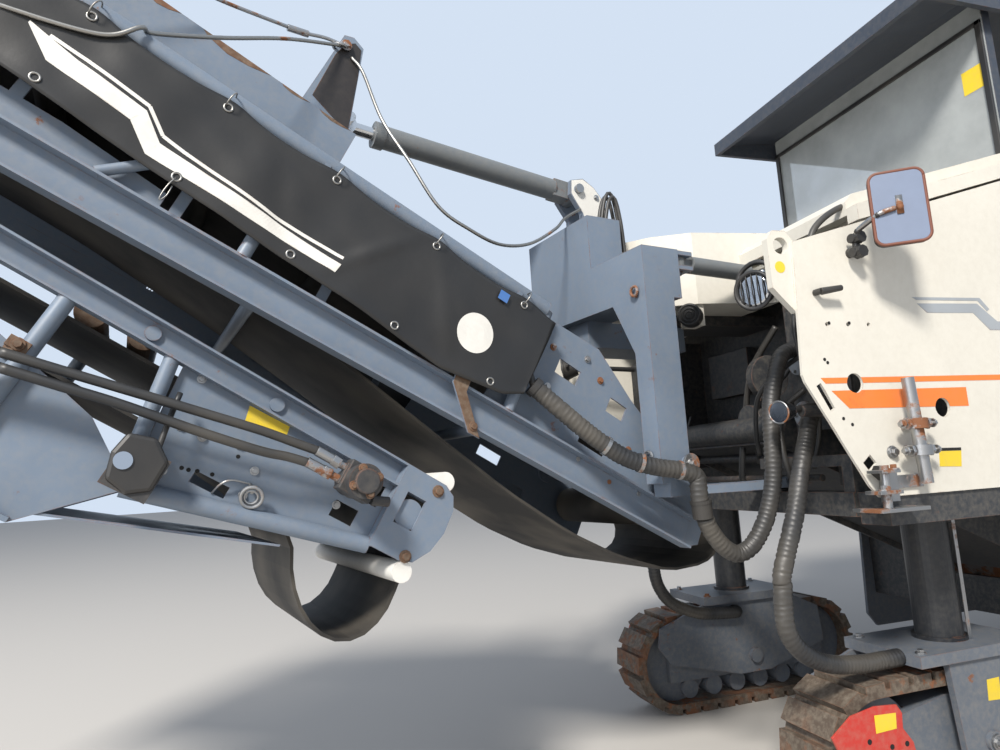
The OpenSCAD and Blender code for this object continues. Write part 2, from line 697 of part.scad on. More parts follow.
// Swing frame: portal over the boom's foot, top box, pivot arm, lower ring and the lugs it carries
module swing_frame() {
    leg_back = leg_front - leg_l;
    beam_low = portal_z - portal_h;
    color(steel_grey) in_swing() {
        union() {
            block([leg_front - 220, -leg_out, beam_low], [leg_front, leg_out, portal_z]);
            block([leg_front - 210, -top_box_half, portal_z], [leg_front, top_box_half, portal_z + top_box_h]);
            both_sides() {
                block([leg_back, leg_out - leg_t, 1500], [leg_front, leg_out, beam_low]);
                yz([[leg_out - leg_t, beam_low], [leg_out - leg_t - 130, beam_low], [leg_out - leg_t, beam_low - 250]],
                    leg_back + 20, leg_front);
                block([leg_back - 60, leg_out - leg_t, 1440], [leg_front - 40, leg_out, 1500]);
                cross_pin(pivot_s, pivot_z, 480, leg_out + 20, foot_pin_d);
                for (z = [slew_z - 45, slew_z + 25])
                    block([slew_pin[0] - 50, slew_pin[1] - 50, z], [leg_front - 220, slew_pin[1] + 50, z + 20]);
                translate([slew_pin[0], slew_pin[1], slew_z - 60]) cylinder(h = 120, d = slew_pin_d);
                xz([[lift_pin[0] - 95, portal_z + top_box_h - 140], [lift_pin[0] - 180, 2800],
                    [lift_pin[0] - 180, 3040], [lift_pin[0] - 110, 3120], [lift_pin[0] - 40, 3160],
                    [lift_pin[0] + 40, 3140], [lift_pin[0] + 50, 3060], [lift_pin[0] - 20, 2960],
                    [lift_pin[0] - 20, portal_z + top_box_h - 10]], 48, 78);
            }
            block([-100, -140, beam_low - 140], [leg_front - 180, 140, beam_low - 4]);
            block([leg_front - 220, -140, beam_low - 140], [leg_front - 60, 140, beam_low]);
            translate([0, 0, beam_low - 100]) cylinder(h = 155, d = swing_pin_d);
            difference() {
                translate([0, 0, 1440]) cylinder(h = 40, r = 720);
                translate([0, 0, 1430]) cylinder(h = 70, r = 610);
                block([250, -520, 1430], [800, 520, 1500]);
                block([430, -730, 1430], [800, 730, 1500]);
            }
        }
        cross_pin(lift_pin[0], lift_pin[1], -92, 92, lift_pin_d);
    }
}

// Lift cylinder: barrel with its rusty base block, closed at the pin end
module lift_barrel() {
    color(steel_grey) in_swing() translate([lift_pin[0], 0, lift_pin[1]]) rotate([0, -lift_ang, 0]) difference() {
        union() {
            cross_pin(0, 0, -42, 42, 110);
            block([0, -42, -48], [130, 42, 48]);
            translate([120, 0, 0]) rotate([0, 90, 0]) cylinder(h = 1010, d = lift_d);
            translate([1085, 0, 0]) rotate([0, 90, 0]) cylinder(h = 50, d = lift_d + 16);
        }
        translate([170, 0, 0]) rotate([0, 90, 0]) cylinder(h = 1000, d = lift_rod_d + 2 * rod_gap);
        cross_pin(0, 0, -60, 60, lift_pin_d + 2 * run_gap);
    }
}

module lift_rod() {
    color("silver") in_swing() translate([lift_pin[0], 0, lift_pin[1]]) rotate([0, -lift_ang, 0]) {
        translate([200, 0, 0]) rotate([0, 90, 0]) cylinder(h = lift_len - 240, d = lift_rod_d);
        cross_pin(lift_len, 0, -34, 34, 96);
        cross_pin(lift_len, 0, -96, 96, 50);
    }
}

// A slew cylinder lies along -X of its own axes, from the pin on the swing frame to the anchor
slew_left_vec = [(slew_anchor[0] - swing_x) * cos(slew_rest) + slew_anchor[1] * sin(slew_rest) - slew_pin[0],
    -(slew_anchor[0] - swing_x) * sin(slew_rest) + slew_anchor[1] * cos(slew_rest) - slew_pin[1]];
slew_right_vec = [(slew_anchor[0] - swing_x) * cos(slew_rest) - slew_anchor[1] * sin(slew_rest) - slew_pin[0],
    -(slew_anchor[0] - swing_x) * sin(slew_rest) - slew_anchor[1] * cos(slew_rest) + slew_pin[1]];
slew_barrel_l = 464;
slew_rod_l = 463;

module in_slew(side, vec) {
    in_swing() translate([slew_pin[0], side * slew_pin[1], slew_z]) rotate([0, 0, atan2(vec[1], vec[0])]) children();
}

module slew_barrel() {
    difference() {
        union() {
            translate([0, 0, -22]) cylinder(h = 44, d = 70);
            block([0, -22, -20], [80, 22, 20]);
            translate([72, 0, 0]) rotate([0, 90, 0]) cylinder(h = slew_barrel_l - 44, d = slew_d);
        }
        translate([76, 0, 0]) rotate([0, 90, 0]) cylinder(h = slew_barrel_l, d = slew_rod_d + 2 * rod_gap);
        translate([0, 0, -30]) cylinder(h = 60, d = slew_pin_d + 2 * run_gap);
    }
}

module slew_rod(vec) {
    l = norm(vec);
    translate([l - slew_rod_l, 0, 0]) rotate([0, 90, 0]) cylinder(h = slew_rod_l - 20, d = slew_rod_d);
    translate([l, 0, -25]) cylinder(h = 50, d = 64);
}

module slew_barrel_left() { color("dimgray") in_slew(1, slew_left_vec) slew_barrel(); }
module slew_barrel_right() { color("dimgray") in_slew(-1, slew_right_vec) slew_barrel(); }
module slew_rod_left() { color("silver") in_slew(1, slew_left_vec) slew_rod(slew_left_vec); }
module slew_rod_right() { color("silver") in_slew(-1, slew_right_vec) slew_rod(slew_right_vec); }

// Boom: channel rails, pipes, struts, foot plates, cross members, spine girder and mast bracket
module boom_frame() {
    out = boom_half;
    foot_t = 8;
    color(steel_grey) in_boom() {
        both_sides() {
            difference() {
                block([-250, out - rail_w, -rail_low], [boom_l - 60, out, -rail_low + rail_h]);
                block([-260, out - rail_w + 8, -rail_low + 10], [boom_l, out + 1, -rail_low + rail_h - 10]);
            }
            bar([860, out - 20, pipe_high], [boom_l - 60, out - 20, pipe_high], pipe_d);
            for (x = [850, boom_l / 2, boom_l - 900]) bar([x, out - 20, -rail_low + rail_h - 2], [x, out - 20, pipe_high], 50);
            bar([boom_l / 2 + 50, out - 20, pipe_high], [boom_l / 2 + 500, out - 20, -rail_low + rail_h - 2], 36);
            bar([boom_l - 850, out - 20, pipe_high], [boom_l - 400, out - 20, -rail_low + rail_h - 2], 36);
            difference() {
                xz([[-340, -160], [-340, -250], [-250, -rail_low], [boom_l - 60, -rail_low],
                    [boom_l - 60, -rail_low + rail_h], [960, -rail_low + rail_h], [880, pipe_high],
                    [520, pipe_high + 10], [270, 200], [0, 90], [-200, -20]], out - rail_w - foot_t, out - rail_w);
                for (s = [[630, 150, 120, 70], [330, 120, 100, 70], [390, -80, 150, 60], [150, -190, 90, 50]])
                    translate([s[0], out, s[1]]) rotate([0, -2, 0]) cube([s[2], 200, s[3]], center = true);
                cross_pin(0, 0, 300, 700, foot_pin_d + 2 * run_gap);
            }
            difference() {
                cross_pin(0, 0, out - rail_w - foot_t - 20, out - 25, 130);
                cross_pin(0, 0, 300, 700, foot_pin_d + 2 * run_gap);
            }
            xz([[boom_l - 130, -rail_low], [boom_l - 60, -rail_low - 80], [boom_l + 40, -rail_low - 80],
                [boom_l + 40, -rail_low + 40], [boom_l - 60, -rail_low + rail_h], [boom_l - 130, -rail_low + rail_h]],
                out - 30, out - 10);
            cross_pin(boom_l, -rail_low - 40, out - 68, out - 6, fold_pin_d);
            block([boom_l - 220, out - rail_w, -rail_low + rail_h - 1], [boom_l - 100, out - rail_w + 8, pipe_high]);
            for (x = [1150:550:boom_l - 600]) block([x - 20, out - rail_w, -rail_low + rail_h - 1],
                [x + 20, out - rail_w + 8, 110]);
            for (x = [1000:900:boom_l - 300]) block([x, out - 5, pipe_high - 45], [x + 24, out + 18 - fit, pipe_high - 10]);
        }
        both_sides() {
            xz([[2300, -rail_low + rail_h - 1], [2300, -90], [2660, -60], [boom_l - 400, -60],
                [boom_l - 400, -rail_low + rail_h - 1]],
                out - rail_w, out - rail_w + 8);
            xz([[1060, -70], [1130, -70], [1125, -180], [985, -330], [930, -330], [1055, -190]],
                out + fit, out + 8);
        }
        for (x = [900, 1900, 2900, boom_l - 120]) bar([x, -out + 62, -rail_low + 40], [x, out - 62, -rail_low + 40], 50);
        for (x = [1900, 2500, 3100, boom_l - 120]) bar([x, -out + 20, pipe_high], [x, out - 20, pipe_high], 50);
        block([1870, -150, pipe_high + 20], [boom_l - 60, -138, 750]);
        block([1870, 138, pipe_high + 20], [boom_l - 60, 150, 750]);
        block([1870, -150, 738], [boom_l - 60, 150, 750]);
        both_sides() difference() {
            xz([[1885, 700], [2140, 700], [2130, 1180], [2090, 1200], [2030, 1180]], 100, 112);
            cross_pin(2070, 1140, 90, 120, 40);
        }
    }
}

// A closed belt: outline of its outer face, run round anticlockwise, in the XZ plane
function unit(v) = v / norm(v);
function inner_at(p, i, t) = let (
    n = len(p),
    a = unit(p[i] - p[(i + n - 1) % n]),
    b = unit(p[(i + 1) % n] - p[i]),
    m = unit([-a[1] - b[1], a[0] + b[0]])) p[i] + m * t / max(0.5, -m[0] * a[1] + m[1] * a[0]);

// The same outline with every corner cut, so that the belt bends in small steps
function eased(p) = [for (i = [0:len(p) - 1]) let (
    q = p[(i + 1) % len(p)],
    f = min(0.25, 45 / norm(q - p[i])))
    for (t = [f, 1 - f]) p[i] * (1 - t) + q * t];

module belt(path, w) {
    p = eased(path);
    difference() {
        xz(p, -w / 2, w / 2);
        xz([for (i = [0:len(p) - 1]) inner_at(p, i, belt_t)], -w / 2 - 1, w / 2 + 1);
    }
}

// Boom belt: head and foot drums, slack return run hanging below the foot
head_r = 120;
head_x = boom_l - 160;
boom_belt_path = [[-560, -200], [-500, -290], [-300, -405], [0, -458], [300, -466], [650, -432], [1000, -372],
    [1500, -282], [2000, -204], [2600, -140], [3200, -108], [head_x, -100], [head_x + 60, -84],
    [head_x + 104, -40], [head_x + 120, 20], [head_x + 104, 80], [head_x + 60, 124], [head_x, 140], [450, 140], [100, 70], [-200, -8], [-420, -40],
    [-530, -100]];

module boom_belt() {
    color(dark) in_boom() {
        belt(boom_belt_path, belt_w);
        cross_pin(head_x, 20, -belt_w / 2 - 30, belt_w / 2 + 30, 2 * (head_r - belt_t) - 3);
        cross_pin(head_x, 20, -489.7, 489.7, 60);
        cross_pin(-190, -125, -belt_w / 2 - 30, belt_w / 2 + 30, 190);
        cross_pin(-190, -125, -481.7, 481.7, 60);
        for (x = [600:550:boom_l - 600]) cross_pin(x, 82, -belt_w / 2, belt_w / 2, 88);
        cross_pin(600, 82, -481.7, 481.7, 30);
        for (x = [1150:550:boom_l - 600]) cross_pin(x, 82, -489.7, 489.7, 30);
    }
}

module tarp(side) {
    y = side * (boom_half + 24);
    color("dimgray") in_boom()
        xz([[830, pipe_high - 30], [812, -70], [925, -132], [1200, -165], [1570, -127], [2300, -82],
            [2850, -38], [boom_l - 100, -10], [boom_l - 100, pipe_high - 10]], y - 6, y + 6);
}

tip_belt_path = [[160, 240], [168, 195], [200, 160], [250, 150], [2400, 150], [tip_l - 350, 104],
    [tip_l - 150, 75], [tip_l - 80, 97], [tip_l - 38, 145], [tip_l - 25, 200], [tip_l - 32, 300],
    [tip_l - 12, 420], [tip_l - 8, 550], [tip_l - 60, 660], [tip_l - 165, 705], [tip_l - 285, 670],
    [tip_l - 390, 575], [tip_l - 460, 450], [2480, 375], [2200, 340], [250, 330], [200, 320], [168, 285]];

module tarp_left() { tarp(1); }
module tarp_right() { tarp(-1); }

// Tip section, drawn unfolded along its own +X from the hinge
module tip_frame() {
    out = tip_out;
    color(steel_grey) in_tip() {
        both_sides() {
            difference() {
                block([120, out - 60, 40], [tip_l - 100, out, 40 + tip_rail_h]);
                block([110, out - 52, 48], [tip_l, out + 1, 32 + tip_rail_h]);
            }
            difference() {
                xz([[-40, -30], [-40, 60], [120, 40 + tip_rail_h], [200, 40 + tip_rail_h], [200, 40], [60, -40]],
                    out - 60, out - 34);
                cross_pin(0, 0, out - 80, out, fold_pin_d + 2 * run_gap);
            }
            bar([2080, out - 30, 545], [tip_l - 235, out - 30, 361], tip_tube_d);
            bar([1650, out - 30, 125], [1660, out - 30, 560], 55);
            bar([1990, out - 30, 125], [2050, out - 30, 420], 50);
            bar([900, out - 30, 125], [900, out - 30, 600], 55);
            difference() {
                xz([[2030, 128], [2090, 540], [tip_l - 225, 350], [tip_l - 225, 128]], out - 50, out - 44);
                for (s = [[tip_l - 360, 300, 90, 60], [tip_l - 290, 190, 50, 80], [2300, 420, 120, 40]])
                    translate([s[0], out - 47, s[1]]) cube([s[2], 30, s[3]], center = true);
            }
            xz([[150, 128], [150, 300], [200, 640], tip_plate, [1880, 760], [2100, 540], [1900, 400],
                [1530, 300], [420, 300], [420, 128]],
                out - 50, out - 44);
            block([260, out - 50, 745], [1880, out - 20, tip_plate[1]]);
            difference() {
                xz([[tip_l - 230, 40], [tip_l - 70, 40], [tip_l - 25, 62], [tip_l, 110], [tip_l + 5, 200],
                    [tip_l - 15, 280], [tip_l - 60, 345], [tip_l - 110, 360], [tip_l - 230, 360]], out - 12, out);
                block([tip_l - 195, out - 30, 130], [tip_l - 115, out + 20, 250]);
            }
            block([tip_l - 240, out - 90, 40], [tip_l - 228, out, 362]);
            block([tip_l - 229, out - 50, 150], [tip_l - 190, out - 22, 250]);
            cross_pin(tip_l - 150, 200, out - 52, out - 13, 110);
        }
        for (x = [300, 1100, 1900, 2350]) bar([x, -out + 40, 85], [x, out - 40, 85], 50);
        cross_pin(1660, 467, -belt_w / 2 - 30, belt_w / 2 + 30, 180);
        cross_pin(1660, 467, -out + 30, out - 30, 50);
        for (w = [30, 390]) cross_pin(tip_l - 78, w, -out + 6, out - 6, 75);
        xz([[1860, 728], [1860, 736], [2600, 495], [2600, 487]], -out + 48, out - 48);
    }
}

module tip_belt() {
    color(dark) in_tip() {
        belt(tip_belt_path, belt_w);
        cross_pin(250, 240, -belt_w / 2 - 30, belt_w / 2 + 30, 154);
        cross_pin(250, 240, -tip_out + 50.3, tip_out - 50.3, 50);
        cross_pin(tip_l - 150, 200, -belt_w / 2 - 30, belt_w / 2 + 30, 222);
        cross_pin(tip_l - 150, 200, -tip_out + 52.3, tip_out - 52.3, 50);
    }
}

module tip_drive() {
    color(dark) in_tip() {
        out = tip_out;
        x = tip_l - 400;
        bar([x, out - 43.7, 200], [x, out + 40, 200], 96);
        bar([x, out + 39, 200], [x, out + 170, 200], 116);
        block([2020, out + 0.3, 420], [2160, out + 90, 560]);
    }
}

// Routes of the hoses and slack ropes
hose_d = 76;
rope_d = 16;
boom_route = [[790, 556, -22], [745, 567, -36], [600, 606, -80], [516, 625, -101],
    [430, 644, -118], [343, 662, -128], [270, 684, -124], [213, 700, -114], [150, 718, -96], [91, 732, -77],
    [12, 746, -66], [-21, 748, -111], [-42, 746, -148], [-74, 744, -181]];
bay_route = [[1221, 826, 1345], [1200, 818, 1300], [1136, 804, 1222],
    [1059, 800, 1180], [985, 812, 1215], [920, 832, 1320], [872, 845, 1470], [852, 845, 1640],
    [828, 830, 1800], [760, 800, 1945], [685, 765, 2050], [600, 745, 2090],
    [520.5, 745, 2090]];
leg_left_route = [[520.5, 900, 1826], [600, 900, 1826], [690, 918, 1756], [752, 945, 1651], [835, 985, 1525],
    [905, 1000, 1343], [980, 1000, 1167], [1005, 1000, 1100], [1005, 1000, 1075]];
track_left_route = [[1005, 1000, 1066], [1012, 1000, 1000], [1008, 1000, 886], [925, 982, 788],
    [778, 950, 720], [595, 920, 688], [460, 900, 680], [360.5, 900, 680]];
leg_right_route = [[670.5, -470, 1352], [706, -470, 1352], [724, -478, 1268], [738, -490, 1176],
    [740, -495, 1130]];
track_right_route = [[740, -496, 1112], [749, -510, 992], [713, -540, 832], [614, -560, 709], [449, -570, 633],
    [340, -572, 612], [165, -566, 600], [130, -585, 600], [130, -615.5, 600]];
mast_route = [[1780, 119.6, 3512], [1738, 150, 3430], [1697, 260, 3155], [1610, 340, 2941], [1502, 385, 2734],
    [1364, 395, 2645], [1188, 350, 2612], [995, 300, 2655], [774, 200, 2790], [640, 110, 2900], [520, 86.5, 2975]];
side_route = [[2110, 121, 1120], [2290, 290, 852], [2452, 430, 585], [2600, 540, 372], [2625, 589, 335],
    [2700, 589, 230], [2940, 589, 126], [3200, 588.5, 45], [3650, 588.5, 55], [3912, 588.5, 270], [3925, 576, 331]];

module hose_boom() { color(dark) in_boom() tube(boom_route, hose_d, [0, 0, 1]); }
module hose_bay() { color(dark) place() tube(bay_route, hose_d, [0, 1, 0]); }
module hose_leg_left() { color(dark) place() tube(leg_left_route, hose_d, [0, 1, 0]); }
module hose_leg_right() { color(dark) place() tube(leg_right_route, hose_d, [1, 1, -1]); }
module hose_track_left() { color(dark) place() tube(track_left_route, hose_d, [0, 1, 0]); }
module hose_track_right() { color(dark) place() tube(track_right_route, hose_d, [1, 1, -1]); }
module rope_mast() { color("silver") in_swing() tube(mast_route, rope_d, [0, 1, 0]); }
module rope_side() { color("silver") in_boom() tube(side_route, rope_d, [1, 0, 0.3]); }

chassis_frame();
nose_bay();
side_panel_left();
side_panel_right();
front_hood();
lifting_lugs();
clamp_post();
mirror_left();
mirror_right();
work_lamps();
platform();
guard_rails();
consoles();
seats();
canopy();
windscreen();
ladders();
engine_hood();
radiator_grille();
engine_block();
exhaust_pipe();
receiving_conveyor();
drum_housing();
drum_side_plates();
milling_drum();
scraper_flap();
leg_front_left();
leg_front_right();
leg_rear_left();
leg_rear_right();
track_front_left();
track_front_right();
track_rear_left();
track_rear_right();
swing_frame();
lift_barrel();
lift_rod();
slew_barrel_left();
slew_rod_left();
slew_barrel_right();
slew_rod_right();
boom_frame();
boom_belt();
tarp_left();
tarp_right();
tip_frame();
tip_belt();
tip_drive();
hose_boom();
hose_bay();
hose_leg_left();
hose_leg_right();
hose_track_left();
hose_track_right();
rope_mast();
rope_side();
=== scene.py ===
import json
import math
import random

import bmesh
import bpy
from mathutils import Matrix, Vector

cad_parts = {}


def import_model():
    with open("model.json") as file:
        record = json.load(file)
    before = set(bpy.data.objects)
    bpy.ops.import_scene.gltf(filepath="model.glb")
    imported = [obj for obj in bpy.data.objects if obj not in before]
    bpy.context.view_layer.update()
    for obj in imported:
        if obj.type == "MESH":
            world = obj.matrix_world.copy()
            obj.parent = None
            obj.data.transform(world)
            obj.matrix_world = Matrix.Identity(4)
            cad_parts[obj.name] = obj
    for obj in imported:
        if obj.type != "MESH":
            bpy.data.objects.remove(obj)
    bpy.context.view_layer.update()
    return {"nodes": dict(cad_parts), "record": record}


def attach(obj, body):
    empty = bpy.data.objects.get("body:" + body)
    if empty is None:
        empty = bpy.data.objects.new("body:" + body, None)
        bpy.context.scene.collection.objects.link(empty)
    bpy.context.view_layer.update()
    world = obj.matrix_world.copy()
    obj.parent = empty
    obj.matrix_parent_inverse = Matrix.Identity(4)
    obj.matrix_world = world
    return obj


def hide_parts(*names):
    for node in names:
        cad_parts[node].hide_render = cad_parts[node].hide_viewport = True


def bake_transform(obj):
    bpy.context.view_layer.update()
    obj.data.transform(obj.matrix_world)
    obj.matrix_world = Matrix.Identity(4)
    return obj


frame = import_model()
SCENE = bpy.context.scene
V = Vector

# Frames shared with the CAD source, in metres
ORIGIN_X = -0.22141035
SLEW = math.radians(12)
RISE = math.radians(28)
FOLD = math.radians(3.2)


def world(x, y, z):
    return V((x - ORIGIN_X, y, z))


def swing(s, y, z):
    return world(0.9 + s * math.cos(SLEW) - y * math.sin(SLEW), s * math.sin(SLEW) + y * math.cos(SLEW), z)


def boom(x, y, z):
    return swing(0.48 + x * math.cos(RISE) - z * math.sin(RISE), y,
                 1.58 + x * math.sin(RISE) + z * math.cos(RISE))


def tip(u, y, w):
    return boom(4.0 - u * math.cos(FOLD) + w * math.sin(FOLD), y,
                -0.34 - u * math.sin(FOLD) - w * math.cos(FOLD))


# Camera
RIGHT = V((-0.95445697, 0.2924112, -0.05922479))
UP = V((-0.01445335, 0.15295761, 0.98812705))
AHEAD = V((-0.2979983, -0.94398075, 0.14176514))
CAMERA_AT = (2.917, 3.409, 1.59)
FOCAL_PX = 680.0
IMAGE_WIDTH_PX = 1000.0
SENSOR_MM = 36.0


def make_camera():
    cam = bpy.data.cameras.new("camera")
    cam.sensor_width = SENSOR_MM
    cam.lens = FOCAL_PX * SENSOR_MM / IMAGE_WIDTH_PX
    cam.clip_start = 0.05
    cam.clip_end = 200.0
    obj = bpy.data.objects.new("camera", cam)
    SCENE.collection.objects.link(obj)
    rot = Matrix((RIGHT, UP, -AHEAD)).transposed()
    obj.matrix_world = Matrix.Translation(world(*CAMERA_AT)) @ rot.to_4x4()
    SCENE.camera = obj
    return obj


make_camera()


# Materials
def new_mat(name):
    m = bpy.data.materials.new(name)
    m.use_nodes = True
    return m


class Nodes:
    """Small helper for building a material's node tree."""

    def __init__(self, mat):
        self.t = mat.node_tree
        self.t.nodes.clear()
        self.out = self.t.nodes.new("ShaderNodeOutputMaterial")
        self.bsdf = self.t.nodes.new("ShaderNodeBsdfPrincipled")
        self.t.links.new(self.bsdf.outputs[0], self.out.inputs[0])
        self.co = self.t.nodes.new("ShaderNodeTexCoord").outputs["Object"]

    def link(self, a, b):
        self.t.links.new(a, b)

    def put(self, sock, val):
        if hasattr(val, "is_linked"):
            self.link(val, sock)
        else:
            sock.default_value = val

    def noise(self, scale, detail=4.0, rough=0.55):
        n = self.t.nodes.new("ShaderNodeTexNoise")
        n.inputs["Scale"].default_value = scale
        n.inputs["Detail"].default_value = detail
        n.inputs["Roughness"].default_value = rough
        self.link(self.co, n.inputs["Vector"])
        return n.outputs["Fac"]

    def ramp(self, fac, stops):
        r = self.t.nodes.new("ShaderNodeValToRGB")
        e = r.color_ramp.elements
        while len(e) < len(stops):
            e.new(0.5)
        for k, (p, c) in enumerate(stops):
            e[k].position = p
            e[k].color = (c, c, c, 1) if isinstance(c, (int, float)) else (*c, 1)
        self.link(fac, r.inputs["Fac"])
        return r.outputs["Color"]

    def mix(self, fac, a, b):
        n = self.t.nodes.new("ShaderNodeMix")
        n.data_type = "RGBA"
        self.put(n.inputs[0], fac)
        for sock, val in ((n.inputs[6], a), (n.inputs[7], b)):
            if isinstance(val, tuple) and len(val) == 3:
                val = (*val, 1)
            self.put(sock, val)
        return n.outputs[2]

    def math(self, op, a, b=0.0):
        n = self.t.nodes.new("ShaderNodeMath")
        n.operation = op
        n.use_clamp = True
        self.put(n.inputs[0], a)
        self.put(n.inputs[1], b)
        return n.outputs[0]

    def bump(self, height, strength=0.3, dist=0.002):
        n = self.t.nodes.new("ShaderNodeBump")
        n.inputs["Strength"].default_value = strength
        n.inputs["Distance"].default_value = dist
        self.link(height, n.inputs["Height"])
        self.link(n.outputs[0], self.bsdf.inputs["Normal"])

    def finish(self, color, rough, metal=0.0):
        self.put(self.bsdf.inputs["Base Color"], (*color, 1) if isinstance(color, tuple) else color)
        self.put(self.bsdf.inputs["Roughness"], rough)
        self.put(self.bsdf.inputs["Metallic"], metal)


RUST = (0.13, 0.045, 0.018)
DUST = (0.32, 0.28, 0.22)


def edge_wear(n):
    """Fac of exposed edges from bevelled normals against true normals."""
    b = n.t.nodes.new("ShaderNodeBevel")
    b.samples = 2
    b.inputs["Radius"].default_value = 0.006
    g = n.t.nodes.new("ShaderNodeNewGeometry")
    d = n.t.nodes.new("ShaderNodeVectorMath")
    d.operation = "DOT_PRODUCT"
    n.link(b.outputs[0], d.inputs[0])
    n.link(g.outputs["Normal"], d.inputs[1])
    return n.math("SUBTRACT", 1.0, d.outputs["Value"])


def painted(name, color, rust=0.3, dust=0.25, rough=0.45, dark=0.8):
    m = new_mat(name)
    n = Nodes(m)
    big = n.noise(1.7, 5)
    fine = n.noise(38, 6, 0.65)
    spots = n.noise(9, 8, 0.7)
    base = n.mix(n.ramp(big, [(0.35, 0.0), (0.7, 1.0)]), color, tuple(c * dark for c in color))
    base = n.mix(n.math("MULTIPLY", n.ramp(fine, [(0.40, 0.0), (0.85, 1.0)]), dust), base, DUST)
    thr = 0.72 - 0.25 * rust
    mask = n.ramp(spots, [(thr, 0.0), (thr + 0.05, 1.0)])
    mask = n.math("MULTIPLY", mask, n.ramp(big, [(0.42, 0.0), (0.6, 1.0)]))
    edge = n.math("MULTIPLY", n.ramp(edge_wear(n), [(0.02, 0.0), (0.12, 1.0)]),
                  n.ramp(spots, [(0.5 - 0.2 * rust, 0.0), (0.62, 1.0)]))
    mask = n.math("MAXIMUM", mask, edge)
    rusty = n.mix(fine, RUST, (0.24, 0.10, 0.045))
    col = n.mix(mask, base, rusty)
    n.finish(col, n.ramp(n.math("ADD", n.math("MULTIPLY", mask, 0.6), n.math("MULTIPLY", fine, 0.5)),
                         [(0.0, rough - 0.08), (1.0, 0.9)]))
    n.bump(n.math("ADD", n.math("MULTIPLY", mask, 0.5), n.math("MULTIPLY", fine, 0.25)), 0.25, 0.003)
    return m


def metal(name, color, rough=0.35, rust=0.2):
    m = new_mat(name)
    n = Nodes(m)
    fine = n.noise(30, 6, 0.65)
    spots = n.noise(6, 8, 0.7)
    mask = n.ramp(spots, [(0.66 - 0.3 * rust, 0.0), (0.72 - 0.3 * rust, 1.0)])
    col = n.mix(mask, color, n.mix(fine, RUST, (0.25, 0.11, 0.05)))
    n.finish(col, n.math("ADD", n.math("MULTIPLY", mask, 0.45), rough), n.math("SUBTRACT", 1.0, mask))
    n.bump(fine, 0.2, 0.002)
    return m


def plain(name, color, rough=0.6, metallic=0.0, scale=20.0, dust=0.3, amp=0.2):
    m = new_mat(name)
    n = Nodes(m)
    fine = n.noise(scale, 6, 0.6)
    big = n.noise(2.5, 4)
    col = n.mix(n.math("MULTIPLY", n.ramp(big, [(0.4, 0.0), (0.75, 1.0)]), dust), color, DUST)
    n.finish(n.mix(n.math("MULTIPLY", fine, 0.35), col, tuple(c * 0.6 for c in color)), rough, metallic)
    n.bump(fine, amp, 0.002)
    return m


def glass(name):
    m = new_mat(name)
    n = Nodes(m)
    dirt = n.noise(4, 6, 0.6)
    n.finish((0.50, 0.53, 0.53), n.ramp(dirt, [(0.4, 0.08), (0.8, 0.3)]))
    n.put(n.bsdf.inputs["Alpha"], n.ramp(dirt, [(0.3, 0.42), (0.8, 0.66)]))
    n.bsdf.inputs["IOR"].default_value = 1.45
    return m


MAT = {
    "dark_paint": painted("dark_paint", (0.030, 0.033, 0.038), 0.35, 0.3, 0.5),
    "cream_paint": painted("cream_paint", (0.66, 0.635, 0.565), 0.03, 0.16, 0.38, dark=0.90),
    "canopy_paint": painted("canopy_paint", (0.035, 0.045, 0.065), 0.1, 0.15, 0.4),
    "grey_paint": painted("grey_paint", (0.12, 0.14, 0.17), 0.4, 0.4, 0.55),
    "conveyor_paint": painted("conveyor_paint", (0.155, 0.20, 0.265), 0.38, 0.22, 0.42),
    "leg_paint": painted("leg_paint", (0.115, 0.135, 0.165), 0.3, 0.35, 0.5),
    "cylinder_paint": painted("cylinder_paint", (0.15, 0.165, 0.175), 0.35, 0.2, 0.38),
    "chrome_rod": metal("chrome_rod", (0.62, 0.63, 0.64), 0.18, 0.1),
    "bare_steel": metal("bare_steel", (0.36, 0.36, 0.36), 0.4, 0.5),
    "worn_steel": metal("worn_steel", (0.24, 0.21, 0.19), 0.5, 0.8),
    "track_steel": painted("track_steel", (0.085, 0.062, 0.045), 0.9, 0.6, 0.7),
    "engine_iron": plain("engine_iron", (0.03, 0.03, 0.035), 0.5),
    "drive_iron": painted("drive_iron", (0.035, 0.035, 0.037), 0.1, 0.15, 0.5),
    "belt_rubber": plain("belt_rubber", (0.020, 0.018, 0.016), 0.7, dust=0.35),
    "tarp_fabric": plain("tarp_fabric", (0.016, 0.016, 0.0165), 0.42, scale=60.0, dust=0.05, amp=0.12),
    "hose_rubber": plain("hose_rubber", (0.022, 0.023, 0.025), 0.45, dust=0.3),
    "rope_steel": metal("rope_steel", (0.32, 0.31, 0.29), 0.4, 0.25),
    "seat_vinyl": plain("seat_vinyl", (0.02, 0.02, 0.02), 0.5),
    "black_plastic": plain("black_plastic", (0.018, 0.018, 0.019), 0.45, dust=0.15),
    "clear_glass": glass("clear_glass"),
}


def dress_cad():
    slots = {s["node"]: s["material_slot"] for s in frame["record"]["subparts"]}
    for node, ref in frame["nodes"].items():
        obj = ref if hasattr(ref, "data") else bpy.data.objects[node]
        obj.data.materials.clear()
        obj.data.materials.append(MAT[slots[node]])


dress_cad()

